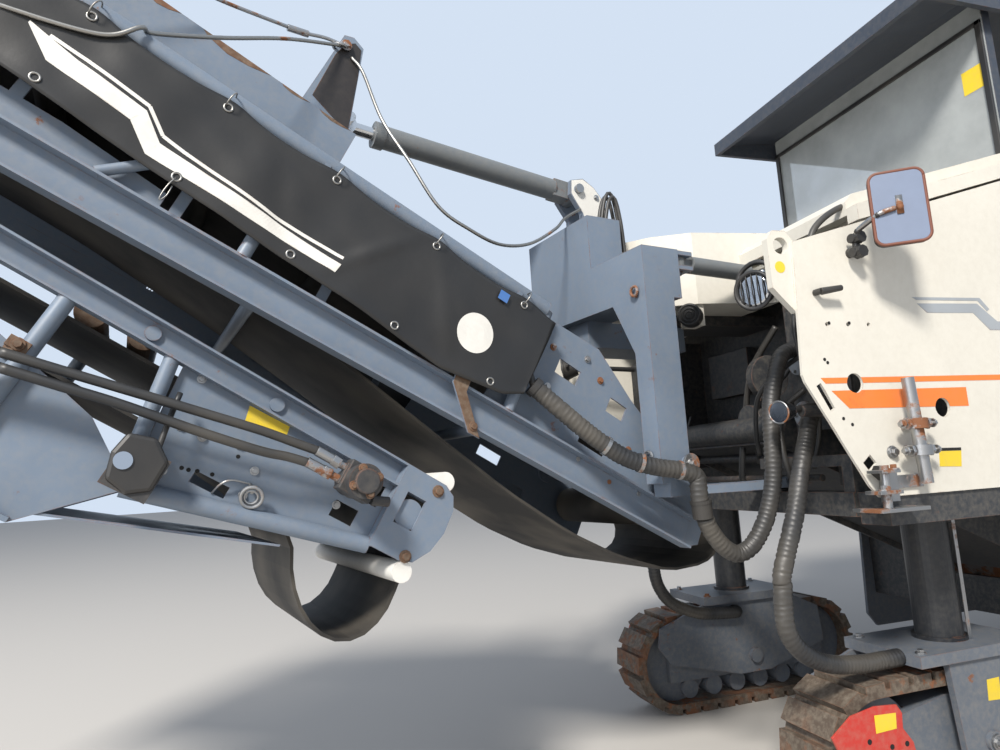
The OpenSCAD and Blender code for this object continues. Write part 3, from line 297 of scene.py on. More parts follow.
RUSTY = painted("rusty_steel", (0.10, 0.055, 0.03), 1.0, 0.5, 0.75)
ORANGE = painted("orange_stripe", (0.80, 0.20, 0.035), 0.02, 0.1, 0.4, dark=0.9)
WHITE = painted("white_print", (0.74, 0.73, 0.69), 0.02, 0.15, 0.5, dark=0.9)
YELLOW = painted("yellow_label", (0.75, 0.55, 0.03), 0.02, 0.2, 0.5, dark=0.9)
GREY_PRINT = painted("grey_print", (0.34, 0.37, 0.40), 0.02, 0.1, 0.4)
RED = painted("red_guard", (0.50, 0.035, 0.025), 0.2, 0.35, 0.5)
BLUE = plain("blue_tag", (0.03, 0.15, 0.45), 0.5)
# Near-black: painted shade inside holes, and the black print of the label headers
HOLE_SHADE_AND_PRINT = plain("hole_shade_and_print", (0.008, 0.008, 0.008), 0.9, dust=0.0)
LENS = metal("lamp_lens", (0.55, 0.57, 0.60), 0.08, 0.0)


# Building helpers
class Batch:
    """Several small solids gathered in one mesh that rides on one body."""

    def __init__(self, name, body, slot, mat, bevel=0.0, smooth=False):
        self.name, self.body, self.slot_name, self.mat = name, body, slot, mat
        self.bevel, self.smooth = bevel, smooth
        self.v, self.f = [], []

    def put(self, verts, faces):
        k = len(self.v)
        self.v += [tuple(v) for v in verts]
        self.f += [tuple(i + k for i in f) for f in faces]

    def box(self, place, lo, hi):
        c = [place(x, y, z) for x in (lo[0], hi[0]) for y in (lo[1], hi[1]) for z in (lo[2], hi[2])]
        self.put(c, [(0, 1, 3, 2), (4, 6, 7, 5), (0, 4, 5, 1), (2, 3, 7, 6), (0, 2, 6, 4), (1, 5, 7, 3)])

    def prism(self, place, axis, outline, a0, a1):
        def at(p, a):
            c = list(p)
            c.insert(axis, a)
            return place(*c)
        n = len(outline)
        self.put([at(p, a0) for p in outline] + [at(p, a1) for p in outline],
                 [tuple(range(n)), tuple(range(2 * n - 1, n - 1, -1))]
                 + [(i, (i + 1) % n, n + (i + 1) % n, n + i) for i in range(n)])

    def rod(self, p, q, d, sides=14, d2=None):
        p, q = V(p), V(q)
        w = (q - p).normalized()
        a = w.orthogonal().normalized()
        b = w.cross(a)
        d2 = d if d2 is None else d2
        turns = [2 * math.pi * k / sides for k in range(sides)]
        ring = [a * math.cos(turn) + b * math.sin(turn) for turn in turns]
        self.put([p + r * d / 2 for r in ring] + [q + r * d2 / 2 for r in ring],
                 [tuple(range(sides)), tuple(range(2 * sides - 1, sides - 1, -1))]
                 + [(i, (i + 1) % sides, sides + (i + 1) % sides, sides + i) for i in range(sides)])

    def bolt(self, p, way, d=0.024, h=0.012):
        p, way = V(p), V(way).normalized()
        self.rod(p - way * 0.001, p + way * h * 0.3, d * 1.55, 12)
        self.rod(p + way * h * 0.3, p + way * h, d, 6)

    def ring(self, c, way, big, small, n=18, m=8):
        c, w = V(c), V(way).normalized()
        a = w.orthogonal().normalized()
        b = w.cross(a)
        vs, fs = [], []
        for i in range(n):
            t = 2 * math.pi * i / n
            e = a * math.cos(t) + b * math.sin(t)
            for j in range(m):
                s = 2 * math.pi * j / m
                vs.append(c + e * (big + small * math.cos(s)) + w * small * math.sin(s))
        for i in range(n):
            for j in range(m):
                fs.append((i * m + j, i * m + (j + 1) % m, ((i + 1) % n) * m + (j + 1) % m,
                           ((i + 1) % n) * m + j))
        self.put(vs, fs)

    def path(self, pts, d, sides=8, step=None):
        vs, fs = sweep(pts, d, sides, step or d * 1.5)
        self.put(vs, fs)

    def make(self):
        me = bpy.data.meshes.new(self.name)
        me.from_pydata(self.v, [], self.f)
        bm = bmesh.new()
        bm.from_mesh(me)
        bmesh.ops.recalc_face_normals(bm, faces=bm.faces)
        bm.to_mesh(me)
        bm.free()
        obj = bpy.data.objects.new(self.name, me)
        SCENE.collection.objects.link(obj)
        me.materials.append(self.mat)
        if self.smooth:
            for poly in me.polygons:
                poly.use_smooth = True
        if self.bevel:
            mod = obj.modifiers.new("bevel", "BEVEL")
            mod.width = self.bevel
            mod.segments = 2
            mod.limit_method = "ANGLE"
            mod.angle_limit = math.radians(50)
        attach(obj, self.body)
        return obj


def smooth_path(pts, step):
    """Points along a Catmull-Rom curve through pts, about step apart."""
    pts = [V(p) for p in pts]
    ext = [pts[0] * 2 - pts[1]] + pts + [pts[-1] * 2 - pts[-2]]
    out = [pts[0]]
    for i in range(1, len(ext) - 2):
        p0, p1, p2, p3 = ext[i - 1:i + 3]
        n = max(1, round((p2 - p1).length / step))
        for k in range(1, n + 1):
            t = k / n
            out.append(0.5 * (2 * p1 + (p2 - p0) * t + (2 * p0 - 5 * p1 + 4 * p2 - p3) * t * t
                              + (3 * p1 - p0 - 3 * p2 + p3) * t ** 3))
    return out


def sweep(pts, d, sides, step, shape=None):
    """Verts and faces of a tube along the curve; shape(length so far, angle) scales its radius."""
    line = smooth_path(pts, step)
    vs, fs = [], []
    a = None
    run = 0.0
    for i, p in enumerate(line):
        w = (line[min(i + 1, len(line) - 1)] - line[max(i - 1, 0)]).normalized()
        a = w.orthogonal().normalized() if a is None else (a - w * a.dot(w)).normalized()
        b = w.cross(a)
        if i:
            run += (p - line[i - 1]).length
        for k in range(sides):
            t = 2 * math.pi * k / sides
            r = d / 2 * (shape(run, t) if shape else 1.0)
            vs.append(p + (a * math.cos(t) + b * math.sin(t)) * r)
    n = len(line)
    for i in range(n - 1):
        for k in range(sides):
            k1 = (k + 1) % sides
            fs.append((i * sides + k, i * sides + k1, (i + 1) * sides + k1, (i + 1) * sides + k))
    fs.append(tuple(range(sides - 1, -1, -1)))
    fs.append(tuple((n - 1) * sides + k for k in range(sides)))
    return vs, fs


# Hoses and slack ropes: the routes of part.scad, in metres
ROUTES = {
    "hose_boom": (boom, [(.79, .556, -.022), (.745, .567, -.036), (.6, .606, -.08),
                         (.516, .625, -.101), (.43, .644, -.118), (.343, .662, -.128), (.27, .684, -.124),
                         (.213, .7, -.114), (.15, .718, -.096), (.091, .732, -.077), (.012, .746, -.066),
                         (-.021, .748, -.111), (-.042, .746, -.148), (-.074, .744, -.181)]),
    "hose_bay": (world, [(1.221, .826, 1.345), (1.2, .818, 1.3),
                         (1.136, .804, 1.222), (1.059, .8, 1.18), (.985, .812, 1.215), (.92, .832, 1.32),
                         (.872, .845, 1.47), (.852, .845, 1.64), (.828, .83, 1.8), (.76, .8, 1.945),
                         (.685, .765, 2.05), (.6, .745, 2.09), (.5205, .745, 2.09)]),
    "hose_leg_left": (world, [(.5205, .9, 1.826), (.6, .9, 1.826), (.69, .918, 1.756), (.752, .945, 1.651),
                              (.835, .985, 1.525), (.905, 1., 1.343), (.98, 1., 1.167), (1.005, 1., 1.1),
                              (1.005, 1., 1.075), (1.005, 1., 1.066), (1.012, 1., 1.), (1.008, 1., .886),
                              (.925, .982, .788), (.778, .95, .72), (.595, .92, .688), (.46, .9, .68),
                              (.3605, .9, .68)]),
    "hose_leg_right": (world, [(.6705, -.47, 1.352), (.706, -.47, 1.352), (.724, -.478, 1.268),
                               (.738, -.49, 1.176),
                               (.74, -.495, 1.13), (.74, -.496, 1.112), (.749, -.51, .992), (.713, -.54,
                                                                                             .832),
                               (.614, -.56, .709), (.449, -.57, .633), (.34, -.572, .612), (.165, -.566, .6),
                               (.13, -.585, .6), (.13, -.6155, .6)]),
    "rope_mast": (swing, [(1.78, .1196, 3.512), (1.738, .15, 3.43), (1.697, .26, 3.155), (1.61, .34, 2.941),
                          (1.502, .385, 2.734), (1.364, .395, 2.645), (1.188, .35, 2.612), (.995, .3, 2.655),
                          (.774, .2, 2.79), (.64, .11, 2.9), (.52, .0865, 2.975)]),
    "rope_side": (boom, [(2.11, .121, 1.12), (2.29, .29, .852), (2.452, .43, .585), (2.6, .54, .372),
                         (2.625, .589, .335), (2.7, .589, .23), (2.94, .589, .126), (3.2, .5885, .045),
                         (3.65, .5885, .055), (3.912, .5885, .27), (3.925, .576, .331)]),
}
HOSE_D = 0.076
ROPE_D = 0.016
HOSE_STEP = 0.007
ROPE_STEP = 0.01
CORD_SIDES = 18


def spiral(run, angle):
    """Ridge of a spiral guard wrapped round a hose."""
    t = (run / 0.021 - angle / (2 * math.pi)) % 1.0
    return 1.0 if t < 0.72 else 0.90


def lay_of_rope(run, angle):
    return 0.84 + 0.16 * abs(math.cos(3 * (angle - run * 2 * math.pi / 0.11)))


def make_cord(name, body, blend=None, extra=()):
    place, pts = ROUTES[name]
    rope = name.startswith("rope")
    d = ROPE_D if rope else HOSE_D
    step = ROPE_STEP if rope else HOSE_STEP
    pts = [place(*p) for p in pts]
    vs, fs = sweep(pts, d, CORD_SIDES, step, lay_of_rope if rope else spiral)
    line = smooth_path(pts, step)
    slot = "rope_steel" if rope else "hose_rubber"
    me = bpy.data.meshes.new(name + "_skin")
    me.from_pydata(vs, [], fs)
    obj = bpy.data.objects.new(name + "_skin", me)
    SCENE.collection.objects.link(obj)
    me.materials.append(MAT[slot])
    for poly in me.polygons:
        poly.use_smooth = True
    if blend:
        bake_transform(obj)
    else:
        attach(obj, body)
    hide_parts(name, *extra)


make_cord("hose_boom", "boom")
make_cord("hose_bay", "machine", ("swing", world(1.0, .8, 1.2), world(1.221, .826, 1.33)))
make_cord("hose_leg_left", "machine", ("leg_front_left_body", world(.98, 1.0, 1.167),
                                                world(.5, .905, .682)),
          ("hose_track_left",))
make_cord("hose_leg_right", "machine", ("leg_front_right_body", world(.738, -.49, 1.176),
                                                 world(.34, -.572, .612)),
          ("hose_track_right",))
make_cord("rope_mast", "swing", ("boom", swing(.995, .3, 2.655), swing(1.738, .15, 3.43)))
make_cord("rope_side", "boom")


# Tarps along the boom, each one sheet laced to the pipe
TARP_EDGE = [(.812, -.07), (.925, -.132), (1.2, -.165), (1.57, -.127), (2.3, -.082), (2.85, -.038),
             (3.9, -.01)]


def line_at(line, x):
    """Height of a line of points at x."""
    for (x0, z0), (x1, z1) in zip(line, line[1:]):
        if x <= x1:
            return z0 + (z1 - z0) * (x - x0) / (x1 - x0)
    return line[-1][1]


def tarp_low(x):
    return line_at(TARP_EDGE, x)


TIES = [0.98, 1.42, 1.86, 2.285, 2.75, 3.2, 3.72]


def tarp_out(x, z):
    """How far the cloth stands out from the boom's middle plane."""
    top = 0.31 - 0.02 * (3.9 - x) / 3.07
    f = max(0.0, min(1.0, (top - z) / (top - tarp_low(x))))
    near = min(abs(x - a) for a in TIES)
    sag = 0.011 * math.sin(math.pi * min(1.0, f * 1.15)) * (1 - math.exp(-(near / 0.14) ** 2))
    fold = 0.006 * math.sin(9.5 * x + 4.0 * z + 0.8 * math.sin(3.1 * x)) * f
    crease = 0.008 * math.exp(-((x - 1.28 - 0.55 * (z - 0.05)) / 0.035) ** 2)
    crease += 0.008 * math.exp(-((x - 1.62 + 0.75 * (z - 0.1)) / 0.03) ** 2)
    crease -= 0.007 * math.exp(-((x - 1.95 - 0.5 * z) / 0.045) ** 2)
    small = 0.0016 * math.sin(31 * x - 17 * z) * math.sin(23 * z + 6 * x)
    return 0.576 + sag + fold + crease * math.sin(math.pi * f) + small


def tarp_top(x):
    near = min(abs(x - a) for a in TIES)
    return 0.31 - 0.02 * (3.9 - x) / 3.07 - 0.022 * (1 - math.exp(-(near / 0.1) ** 2))


def make_tarp(side, nm):
    xs = [0.815 + (3.895 - 0.815) * i / 150 for i in range(151)]
    rows = 26
    vs, fs = [], []
    for layer in (0.0, 0.003):
        for x in xs:
            for j in range(rows + 1):
                f = j / rows
                z = tarp_top(x) + (tarp_low(x) - tarp_top(x)) * f
                hem = 0.0015 if (j <= 1 or j >= rows - 1) and layer else 0.0
                xx = x + (0.02 * f if x < 0.83 else 0.0)
                vs.append(boom(xx, side * (tarp_out(x, z) + layer + hem), z))
    n = rows + 1
    m = len(xs) * n
    for i in range(len(xs) - 1):
        for j in range(rows):
            a = i * n + j
            fs.append((a, a + 1, a + n + 1, a + n))
            fs.append((m + a, m + a + n, m + a + n + 1, m + a + 1))
    for i in range(len(xs) - 1):
        for j in (0, rows):
            a = i * n + j
            fs.append((a, a + n, m + a + n, m + a))
    for i in (0, len(xs) - 1):
        for j in range(rows):
            a = i * n + j
            fs.append((a, a + 1, m + a + 1, m + a))
    b = Batch("tarp_sheet_" + nm, "boom", "tarp_fabric", MAT["tarp_fabric"], smooth=True)
    b.put(vs, fs)
    obj = b.make()
    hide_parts("tarp_" + nm)

    def on(x, z, up=0.0015):
        return boom(x, side * (tarp_out(x, z) + 0.003 + up), z)

    def band(batch, low, high, steps=90):
        def at(line, t):
            ln = [0.0]
            for p, q in zip(line, line[1:]):
                ln.append(ln[-1] + math.dist(p, q))
            d = t * ln[-1]
            for k in range(len(line) - 1):
                if d <= ln[k + 1] + 1e-9:
                    u = (d - ln[k]) / (ln[k + 1] - ln[k])
                    (x0, z0), (x1, z1) = line[k:k + 2]
                    return x0 + (x1 - x0) * u, z0 + (z1 - z0) * u
            return line[-1]
        vs, fs = [], []
        for i in range(steps + 1):
            p, q = at(low, i / steps), at(high, i / steps)
            for up in (-0.001, 0.0018):
                vs += [on(p[0], p[1], up), on((p[0] + q[0]) / 2, (p[1] + q[1]) / 2, up), on(q[0], q[1], up)]
        for i in range(steps):
            a, c = i * 6, i * 6 + 6
            fs += [(a + 3, a + 4, c + 4, c + 3), (a + 4, a + 5, c + 5, c + 4), (a, c, c + 1, a + 1),
                   (a + 1, c + 1, c + 2, a + 2), (a, a + 3, c + 3, c), (a + 2, c + 2, c + 5, a + 5)]
        batch.put(vs, fs)

    pr = Batch("tarp_print_" + nm, "boom", "tarp_fabric", WHITE)
    for seg in (([(2.863, .131), (2.767, .054)], [(2.863, .14), (2.703, .112)]),
                ([(2.767, .054), (2.496, .034)], [(2.703, .112), (2.472, .09)]),
                ([(2.496, .034), (2.408, -.038)], [(2.472, .09), (2.391, .02)]),
                ([(2.408, -.038), (1.71, -.054)], [(2.391, .02), (1.704, -.018)])):
        band(pr, *seg, steps=60)
    thin = [(2.8, .134), (2.685, .129), (2.472, .108), (2.395, .047), (2.315, .037), (1.974, .010),
            (1.708, .008)]
    for p, q in zip(thin, thin[1:]):
        nx, nz = -(q[1] - p[1]), q[0] - p[0]
        run = math.hypot(nx, nz)
        o = (nx / run * 0.006, nz / run * 0.006)
        band(pr, [(p[0] - o[0], p[1] - o[1]), (q[0] - o[0], q[1] - o[1])],
             [(p[0] + o[0], p[1] + o[1]), (q[0] + o[0], q[1] + o[1])], steps=24)
    disc_v = [on(1.129, .034)]
    for r in (0.04, 0.081):
        disc_v += [on(1.129 + r * math.cos(a * math.pi / 18),
                      .034 + r * math.sin(a * math.pi / 18)) for a in range(36)]
    disc_f = [(0, 1 + k, 1 + (k + 1) % 36) for k in range(36)]
    disc_f += [(1 + k, 37 + k, 37 + (k + 1) % 36, 1 + (k + 1) % 36) for k in range(36)]
    pr.put(disc_v, disc_f)
    prints = pr.make()

    lace = Batch("tarp_laces_" + nm, "boom", "rope_steel", MAT["rope_steel"], smooth=True)
    for x in TIES:
        z = tarp_top(x) - 0.03
        lace.ring(on(x, z, 0.001), boom(x, side, 0) - boom(x, 0, 0), 0.014, 0.004)
        lace.ring(on(x + 0.005, z + 0.028, 0.002), boom(1, 0, 0.15) - boom(0, 0, 0), 0.032, 0.0028, 20, 6)
        zb = tarp_low(x + 0.01) + 0.03
        lace.ring(on(x + 0.01, zb, 0.001), boom(x, side, 0) - boom(x, 0, 0), 0.014, 0.004)
    lace.path([on(2.295, -.06, .006), on(2.30, -.09, .012), on(2.302, -.13, .010), on(2.298, -.155, .006),
               on(2.288, -.13, .004), on(2.29, -.09, .004)], 0.005, 6, 0.01)
    laces = lace.make()


make_tarp(1, "left")
make_tarp(-1, "right")


# Prints, labels and small fittings; some dark discs and skins among them are painted shade, and the mirror
# backs carry a painted sky reflection
def mirror_y(place):
    return lambda x, y, z: place(x, -y, z)


PANEL_HOLES = [(.75, 1.86, .04), (.31, 1.75, .04)]


def strip(batch, place, lower, upper, y0, y1, holes=()):
    """Thin band between two lines on a side panel, left open round its holes."""
    xs = {x for x, _ in lower + upper}
    for hx, _, hr in holes:
        xs |= {hx - hr * math.cos(math.pi * k / 16) for k in range(17)}
    lo, hi = max(lower[0][0], upper[0][0]), min(lower[-1][0], upper[-1][0])
    xs = sorted(x for x in xs if lo - 1e-9 <= x <= hi + 1e-9)
    for xa, xb in zip(xs, xs[1:]):
        hole = min(holes, key=lambda h: abs(h[0] - (xa + xb) / 2)) if holes else (0, 0, 0)
        for part in (0, 1):
            ends = []
            for x in (xa, xb):
                a, b = line_at(lower, x), line_at(upper, x)
                h = math.sqrt(max(0.0, hole[2] ** 2 - (x - hole[0]) ** 2))
                mid = [min(max(hole[1] + s * h, a), b) for s in (-1, 1)]
                ends.append((a, mid[0]) if part == 0 else (mid[1], b))
            pts = [(xa, ends[0][0]), (xb, ends[1][0]), (xb, ends[1][1]), (xa, ends[0][1])]
            pts = [q for k, q in enumerate(pts) if math.dist(q, pts[k - 1]) > 1e-5]
            if len(pts) > 2:
                batch.prism(place, 1, pts, y0, y1)


def skin(batch, place, axis, outline, a, t=0.0012):
    batch.prism(place, axis, outline, a + math.copysign(0.0002, a), a + math.copysign(t, a))


def disc(c, r, n=28):
    """Outline points of a disc of radius r round c."""
    return [(c[0] + r * math.cos(2 * math.pi * k / n),
             c[1] + r * math.sin(2 * math.pi * k / n)) for k in range(n)]


def make_prints():
    for nm, place in (("left", world), ("right", mirror_y(world))):
        b = Batch("stripes_" + nm, "machine", "cream_paint", ORANGE)
        strip(b, place, [(-.845, 1.86), (.895, 1.86), (.916, 1.883)], [(-.845, 1.883), (.916, 1.883)],
              1.2502, 1.2512, PANEL_HOLES)
        strip(b, place, [(.165, 1.752), (.794, 1.759), (.871, 1.831)], [(.165, 1.832), (.871, 1.831)],
              1.2502, 1.2512, PANEL_HOLES)
        b.make()
        b = Batch("grey_stripes_" + nm, "machine", "cream_paint", GREY_PRINT)
        skin(b, place, 1, [(.39, 2.221), (.366, 2.209), (.019, 2.212), (-.028, 2.165), (-.044, 2.175),
                           (.004, 2.225)], 1.25)
        skin(b, place, 1, [(.367, 2.194), (.317, 2.154), (.056, 2.157), (-.029, 2.081), (-.72, 2.077),
                           (-.72, 2.118), (-.08, 2.12), (.025, 2.199)], 1.25)
        b.make()
    b = Batch("yellow_labels", "machine", "cream_paint", YELLOW)
    for place in (world, mirror_y(world)):
        skin(b, place, 1, [(.366, 1.57), (.246, 1.567), (.257, 1.502), (.374, 1.508)], 1.25)
    for place in (world, mirror_y(world)):
        skin(b, place, 1, disc((1.034, 2.335), .024), 1.2377)
    b.make()
    # Black header bands above the labels are print; the small dark discs are painted shade in the panel's
    # holes
    b = Batch("label_print_and_hole_shade", "machine", "cream_paint", HOLE_SHADE_AND_PRINT)
    for place in (world, mirror_y(world)):
        skin(b, place, 1, [(.366, 1.583), (.245, 1.58), (.246, 1.568), (.366, 1.571)], 1.25)
        for x, z in ((.84, 2.105), (.739, 2.106), (.885, 1.957), (.872, 1.944), (.83, 1.72), (.79, 1.695)):
            skin(b, place, 1, disc((x, z), .007, 12), 1.25)
    b.make()
    b = Batch("screen_label", "machine", "clear_glass", YELLOW)
    b.box(world, (-.8839, .70, 3.60), (-.8829, .83, 3.74))
    b.make()


def make_panel_fittings():
    b = Batch("panel_fittings", "machine", "black_plastic", MAT["black_plastic"], 0.002)
    b.rod(world(.893, 1.2505, 2.228), world(.888, 1.285, 2.228), .026, 14)
    b.rod(world(.893, 1.285, 2.225), world(.803, 1.30, 2.238), .030, 12, .024)
    b.prism(world, 1, [(.715, 1.53), (.735, 1.50), (.70, 1.47), (.672, 1.50)], 1.2503, 1.285)
    for z in (2.39, 2.45):
        b.rod(world(.69, 1.285, z), world(.69, 1.325, z), .052, 8)
        b.rod(world(.664, 1.29, z), world(.716, 1.29, z), .04, 12)
    b.make()
    b = Batch("panel_steel", "machine", "bare_steel", MAT["bare_steel"], 0.0015)
    b.rod(world(.613, 1.2505, 1.578), world(.613, 1.256, 1.578), .052, 24)
    b.bolt(world(.613, 1.256, 1.578), (0, 1, 0), .030, .02)
    b.box(world, (.485, 1.2503, 1.435), (.625, 1.262, 1.486))
    for z in (1.58, 1.685):
        for x in (.475, .575):
            b.rod(world(x, 1.31, z), world(x + .012, 1.31, z), .05, 6)
        b.rod(world(.45, 1.31, z), world(.60, 1.31, z), .014, 10)
        b.bolt(world(.45, 1.31, z), (-1, 0, 0), .024, .018)
        b.bolt(world(.60, 1.31, z), (1, 0, 0), .024, .018)
    b.box(world, (.56, 1.20, 1.352), (.796, 1.345, 1.366))
    b.rod(world(.72, 1.30, 1.366), world(.715, 1.30, 1.53), .034, 16)
    b.box(world, (.674, 1.262, 1.42), (.785, 1.338, 1.434))
    b.box(world, (.674, 1.262, 1.50), (.765, 1.338, 1.512))
    b.bolt(world(.75, 1.32, 1.434), (0, 0, 1), .026, .02)
    b.bolt(world(.69, 1.32, 1.512), (0, 0, 1), .026, .02)
    b.box(world, (.62, 1.252, 1.386), (.70, 1.268, 1.50))
    b.make()
    for s, place, nm in ((1, world, "left"), (-1, mirror_y(world), "right")):
        # Blue-grey back of each mirror: its paint, with the blue tint partly a painted sky reflection
        b = Batch("mirror_face_" + nm, "machine", "black_plastic", MIRROR_BACK_PAINT_AND_SKY, 0.004)
        c, sn = math.cos(math.radians(55)), math.sin(math.radians(55))

        def face(a, u, z, place=place):
            return place(.611 + a * c - u * sn, 1.44 + a * sn + u * c, 2.527 + z)

        def rounded(w, h, r, n=6):
            out = []
            for qx, qz, a0 in ((w - r, h - r, 0), (-w + r, h - r, 90), (-w + r, -h + r, 180),
                               (w - r, -h + r, 270)):
                out += [(qx + r * math.cos(math.radians(a0 + 90 * k / n)),
                         qz + r * math.sin(math.radians(a0 + 90 * k / n)))
                        for k in range(n + 1)]
            return out
        b.prism(face, 0, rounded(.092, .142, .030), .0155, .019)
        b.make()
        b = Batch("mirror_rim_" + nm, "machine", "black_plastic", RIM, smooth=True)
        loop = [face(.015, u, z) for u, z in rounded(.0965, .1465, .034, 8)]
        b.path(loop + [loop[0]], .013, 10, .006)
        b.make()
        b = Batch("mirror_glass_" + nm, "machine", "black_plastic", LENS)
        b.prism(face, 0, rounded(.085, .135, .025), -.0038, -.0048)
        b.make()
        b = Batch("mirror_arm_" + nm, "machine", "bare_steel", MAT["bare_steel"], smooth=True)
        b.path([place(.69, 1.31, 2.445), place(.706, 1.32, 2.472), place(.69, 1.41, 2.506),
                place(.64, 1.452, 2.522)], .0195, 12, .01)
        b.rod(face(.019, .0, -.005), face(.034, .0, -.005), .022, 12)
        b.box(face, (.019, -.012, -.03), (.024, .012, .045))
        b.make()


def make_lamps():
    aim = V((math.sin(math.radians(96)) * math.cos(math.radians(28)),
             math.sin(math.radians(96)) * math.sin(math.radians(28)), math.cos(math.radians(96))))
    for s, place, nm in ((1, world, "left"), (-1, mirror_y(world), "right")):
        way = V((aim.x, s * aim.y, aim.z))
        c = place(.94, 1.01, 2.30) + way * .095
        b = Batch("headlamp_glass_" + nm, "machine", "black_plastic", LENS)
        b.rod(c + way * .0005, c + way * .006, .142, 32, .12)
        b.make()
        b = Batch("headlamp_guard_" + nm, "machine", "black_plastic", MAT["black_plastic"], smooth=True)
        b.ring(c + way * .004, way, .078, .009, 36, 10)
        side = way.cross(V((0, 0, 1))).normalized()
        up = side.cross(way)
        for k in (-2, -1, 0, 1, 2):
            h = math.sqrt(.074 ** 2 - (k * .024) ** 2)
            b.path([c + side * k * .024 - up * h + way * .006, c + side * k * .024 + way * .016,
                    c + side * k * .024 + up * h + way * .006], .006, 6, .02)
        b.path([c - way * .03 + side * .09, c - way * .05 + side * .07 + up * .09, c - way * .05 + up * .125,
                c - way * .05 - side * .07 + up * .09, c - way * .03 - side * .09], .022, 8, .02)
        b.make()
        tilt = V((math.sin(math.radians(94)) * math.cos(math.radians(15)),
                  s * math.sin(math.radians(94)) * math.sin(math.radians(15)), math.cos(math.radians(94))))
        e = place(.85, .984, 1.778) + tilt * .08
        b = Batch("bay_lamp_" + nm, "machine", "black_plastic", LENS)
        b.rod(e + tilt * .0005, e + tilt * .003, .086, 28)
        b.rod(e - tilt * .078, e, .064, 28, .098)
        b.make()
        b = Batch("bay_lamp_rim_" + nm, "machine", "bare_steel", MAT["bare_steel"], smooth=True)
        b.ring(e + tilt * .002, tilt, .047, .004, 30, 8)
        b.make()
    b = Batch("horn_face", "machine", "black_plastic", MAT["black_plastic"], smooth=True)
    w = V((1, 1, 0)).normalized()
    h = world(.8837, .3737, 2.34) + w * .064
    for r, small in ((.052, .006), (.034, .005), (.017, .004)):
        b.ring(h, w, r, small, 30, 8)
    b.make()


def make_bay():
    b = Batch("bay_hoses", "machine", "hose_rubber", MAT["hose_rubber"], smooth=True)
    for pts, d in (
            ([(.53, .80, 2.24), (.47, .647, 2.185), (.45, .51, 2.03), (.45, .31, 1.923), (.45, .245, 1.79),
              (.40, .22, 1.60)], .026),
            ([(.53, .86, 2.22), (.48, .70, 2.12), (.45, .49, 1.99), (.45, .27, 1.88), (.45, .20, 1.75),
              (.40, .16, 1.55)], .02),
            ([(.40, .42, 2.28), (.45, .251, 2.071), (.45, .142, 1.802), (.45, .066, 1.523),
              (.42, .03, 1.43)], .034),
            ([(.54, .90, 2.10), (.60, .70, 2.02), (.62, .50, 1.90), (.60, .42, 1.72), (.56, .38, 1.60)],
             .024),
            ([(.53, .72, 1.90), (.62, .66, 1.80), (.68, .70, 1.62), (.66, .72, 1.45)], .03)):
        b.path([world(*q) for q in pts], d, 12, .014)
    b.path([world(.72, .93, 2.24), world(.756, .96, 2.12), world(.70, .93, 1.96), world(.60, .86, 1.85),
            world(.56, .82, 1.70), world(.58, .78, 1.52)], .022, 10, .012)
    b.path([world(x, 1.15, z) for x, z in ((.80, 2.46), (.756, 2.543), (.67, 2.612), (.57, 2.657),
                                           (.44, 2.678), (.20, 2.72))],
           .028, 12, .012)
    b.make()
    b = Batch("bay_parts", "machine", "dark_paint", MAT["dark_paint"], 0.003)
    b.rod(world(.40, .28, 2.02), world(.40, .33, 2.02), .24, 30)
    b.rod(world(.40, .20, 1.78), world(.47, .20, 1.78), .20, 28)
    b.box(world, (.175, -.45, 1.98), (.24, -.05, 2.26))
    b.box(world, (.175, .55, 1.92), (.21, .61, 2.33))
    b.rod(world(.36, -.60, 1.594), world(.36, .627, 1.576), .05, 16)
    b.rod(world(.40, -.60, 1.47), world(.40, .627, 1.47), .036, 14)
    b.rod(world(.521, 1.00, 1.77), world(.80, .99, 1.775), .05, 16)
    b.make()
    b = Batch("bay_steel", "machine", "bare_steel", MAT["bare_steel"], 0.001)
    for y, z in ((.647, 2.185), (.51, 2.03), (.31, 1.923)):
        b.rod(world(.45, y + .02, z + .02), world(.45, y - .02, z - .02), .036, 8)
    for y in (.70, .90):
        for z in (1.78, 2.04):
            b.rod(world(.5205, y, z), world(.535, y, z), .13, 24)
            for k in range(6):
                a = k * math.pi / 3
                b.bolt(world(.535, y + .052 * math.cos(a), z + .052 * math.sin(a)), (1, 0, 0), .014, .008)
    b.make()


def make_screen():
    b = Batch("screen_seal", "machine", "black_plastic", MAT["black_plastic"], 0.004)
    x0, x1 = -.8835, -.868
    b.box(world, (x0, -.86, 3.022), (x1, .86, 3.062))
    b.box(world, (x0, -.86, 3.958), (x1, .86, 3.985))
    for y in (-.86, .825):
        b.box(world, (x0, y, 3.022), (x1, y + .035, 3.985))
    b.make()


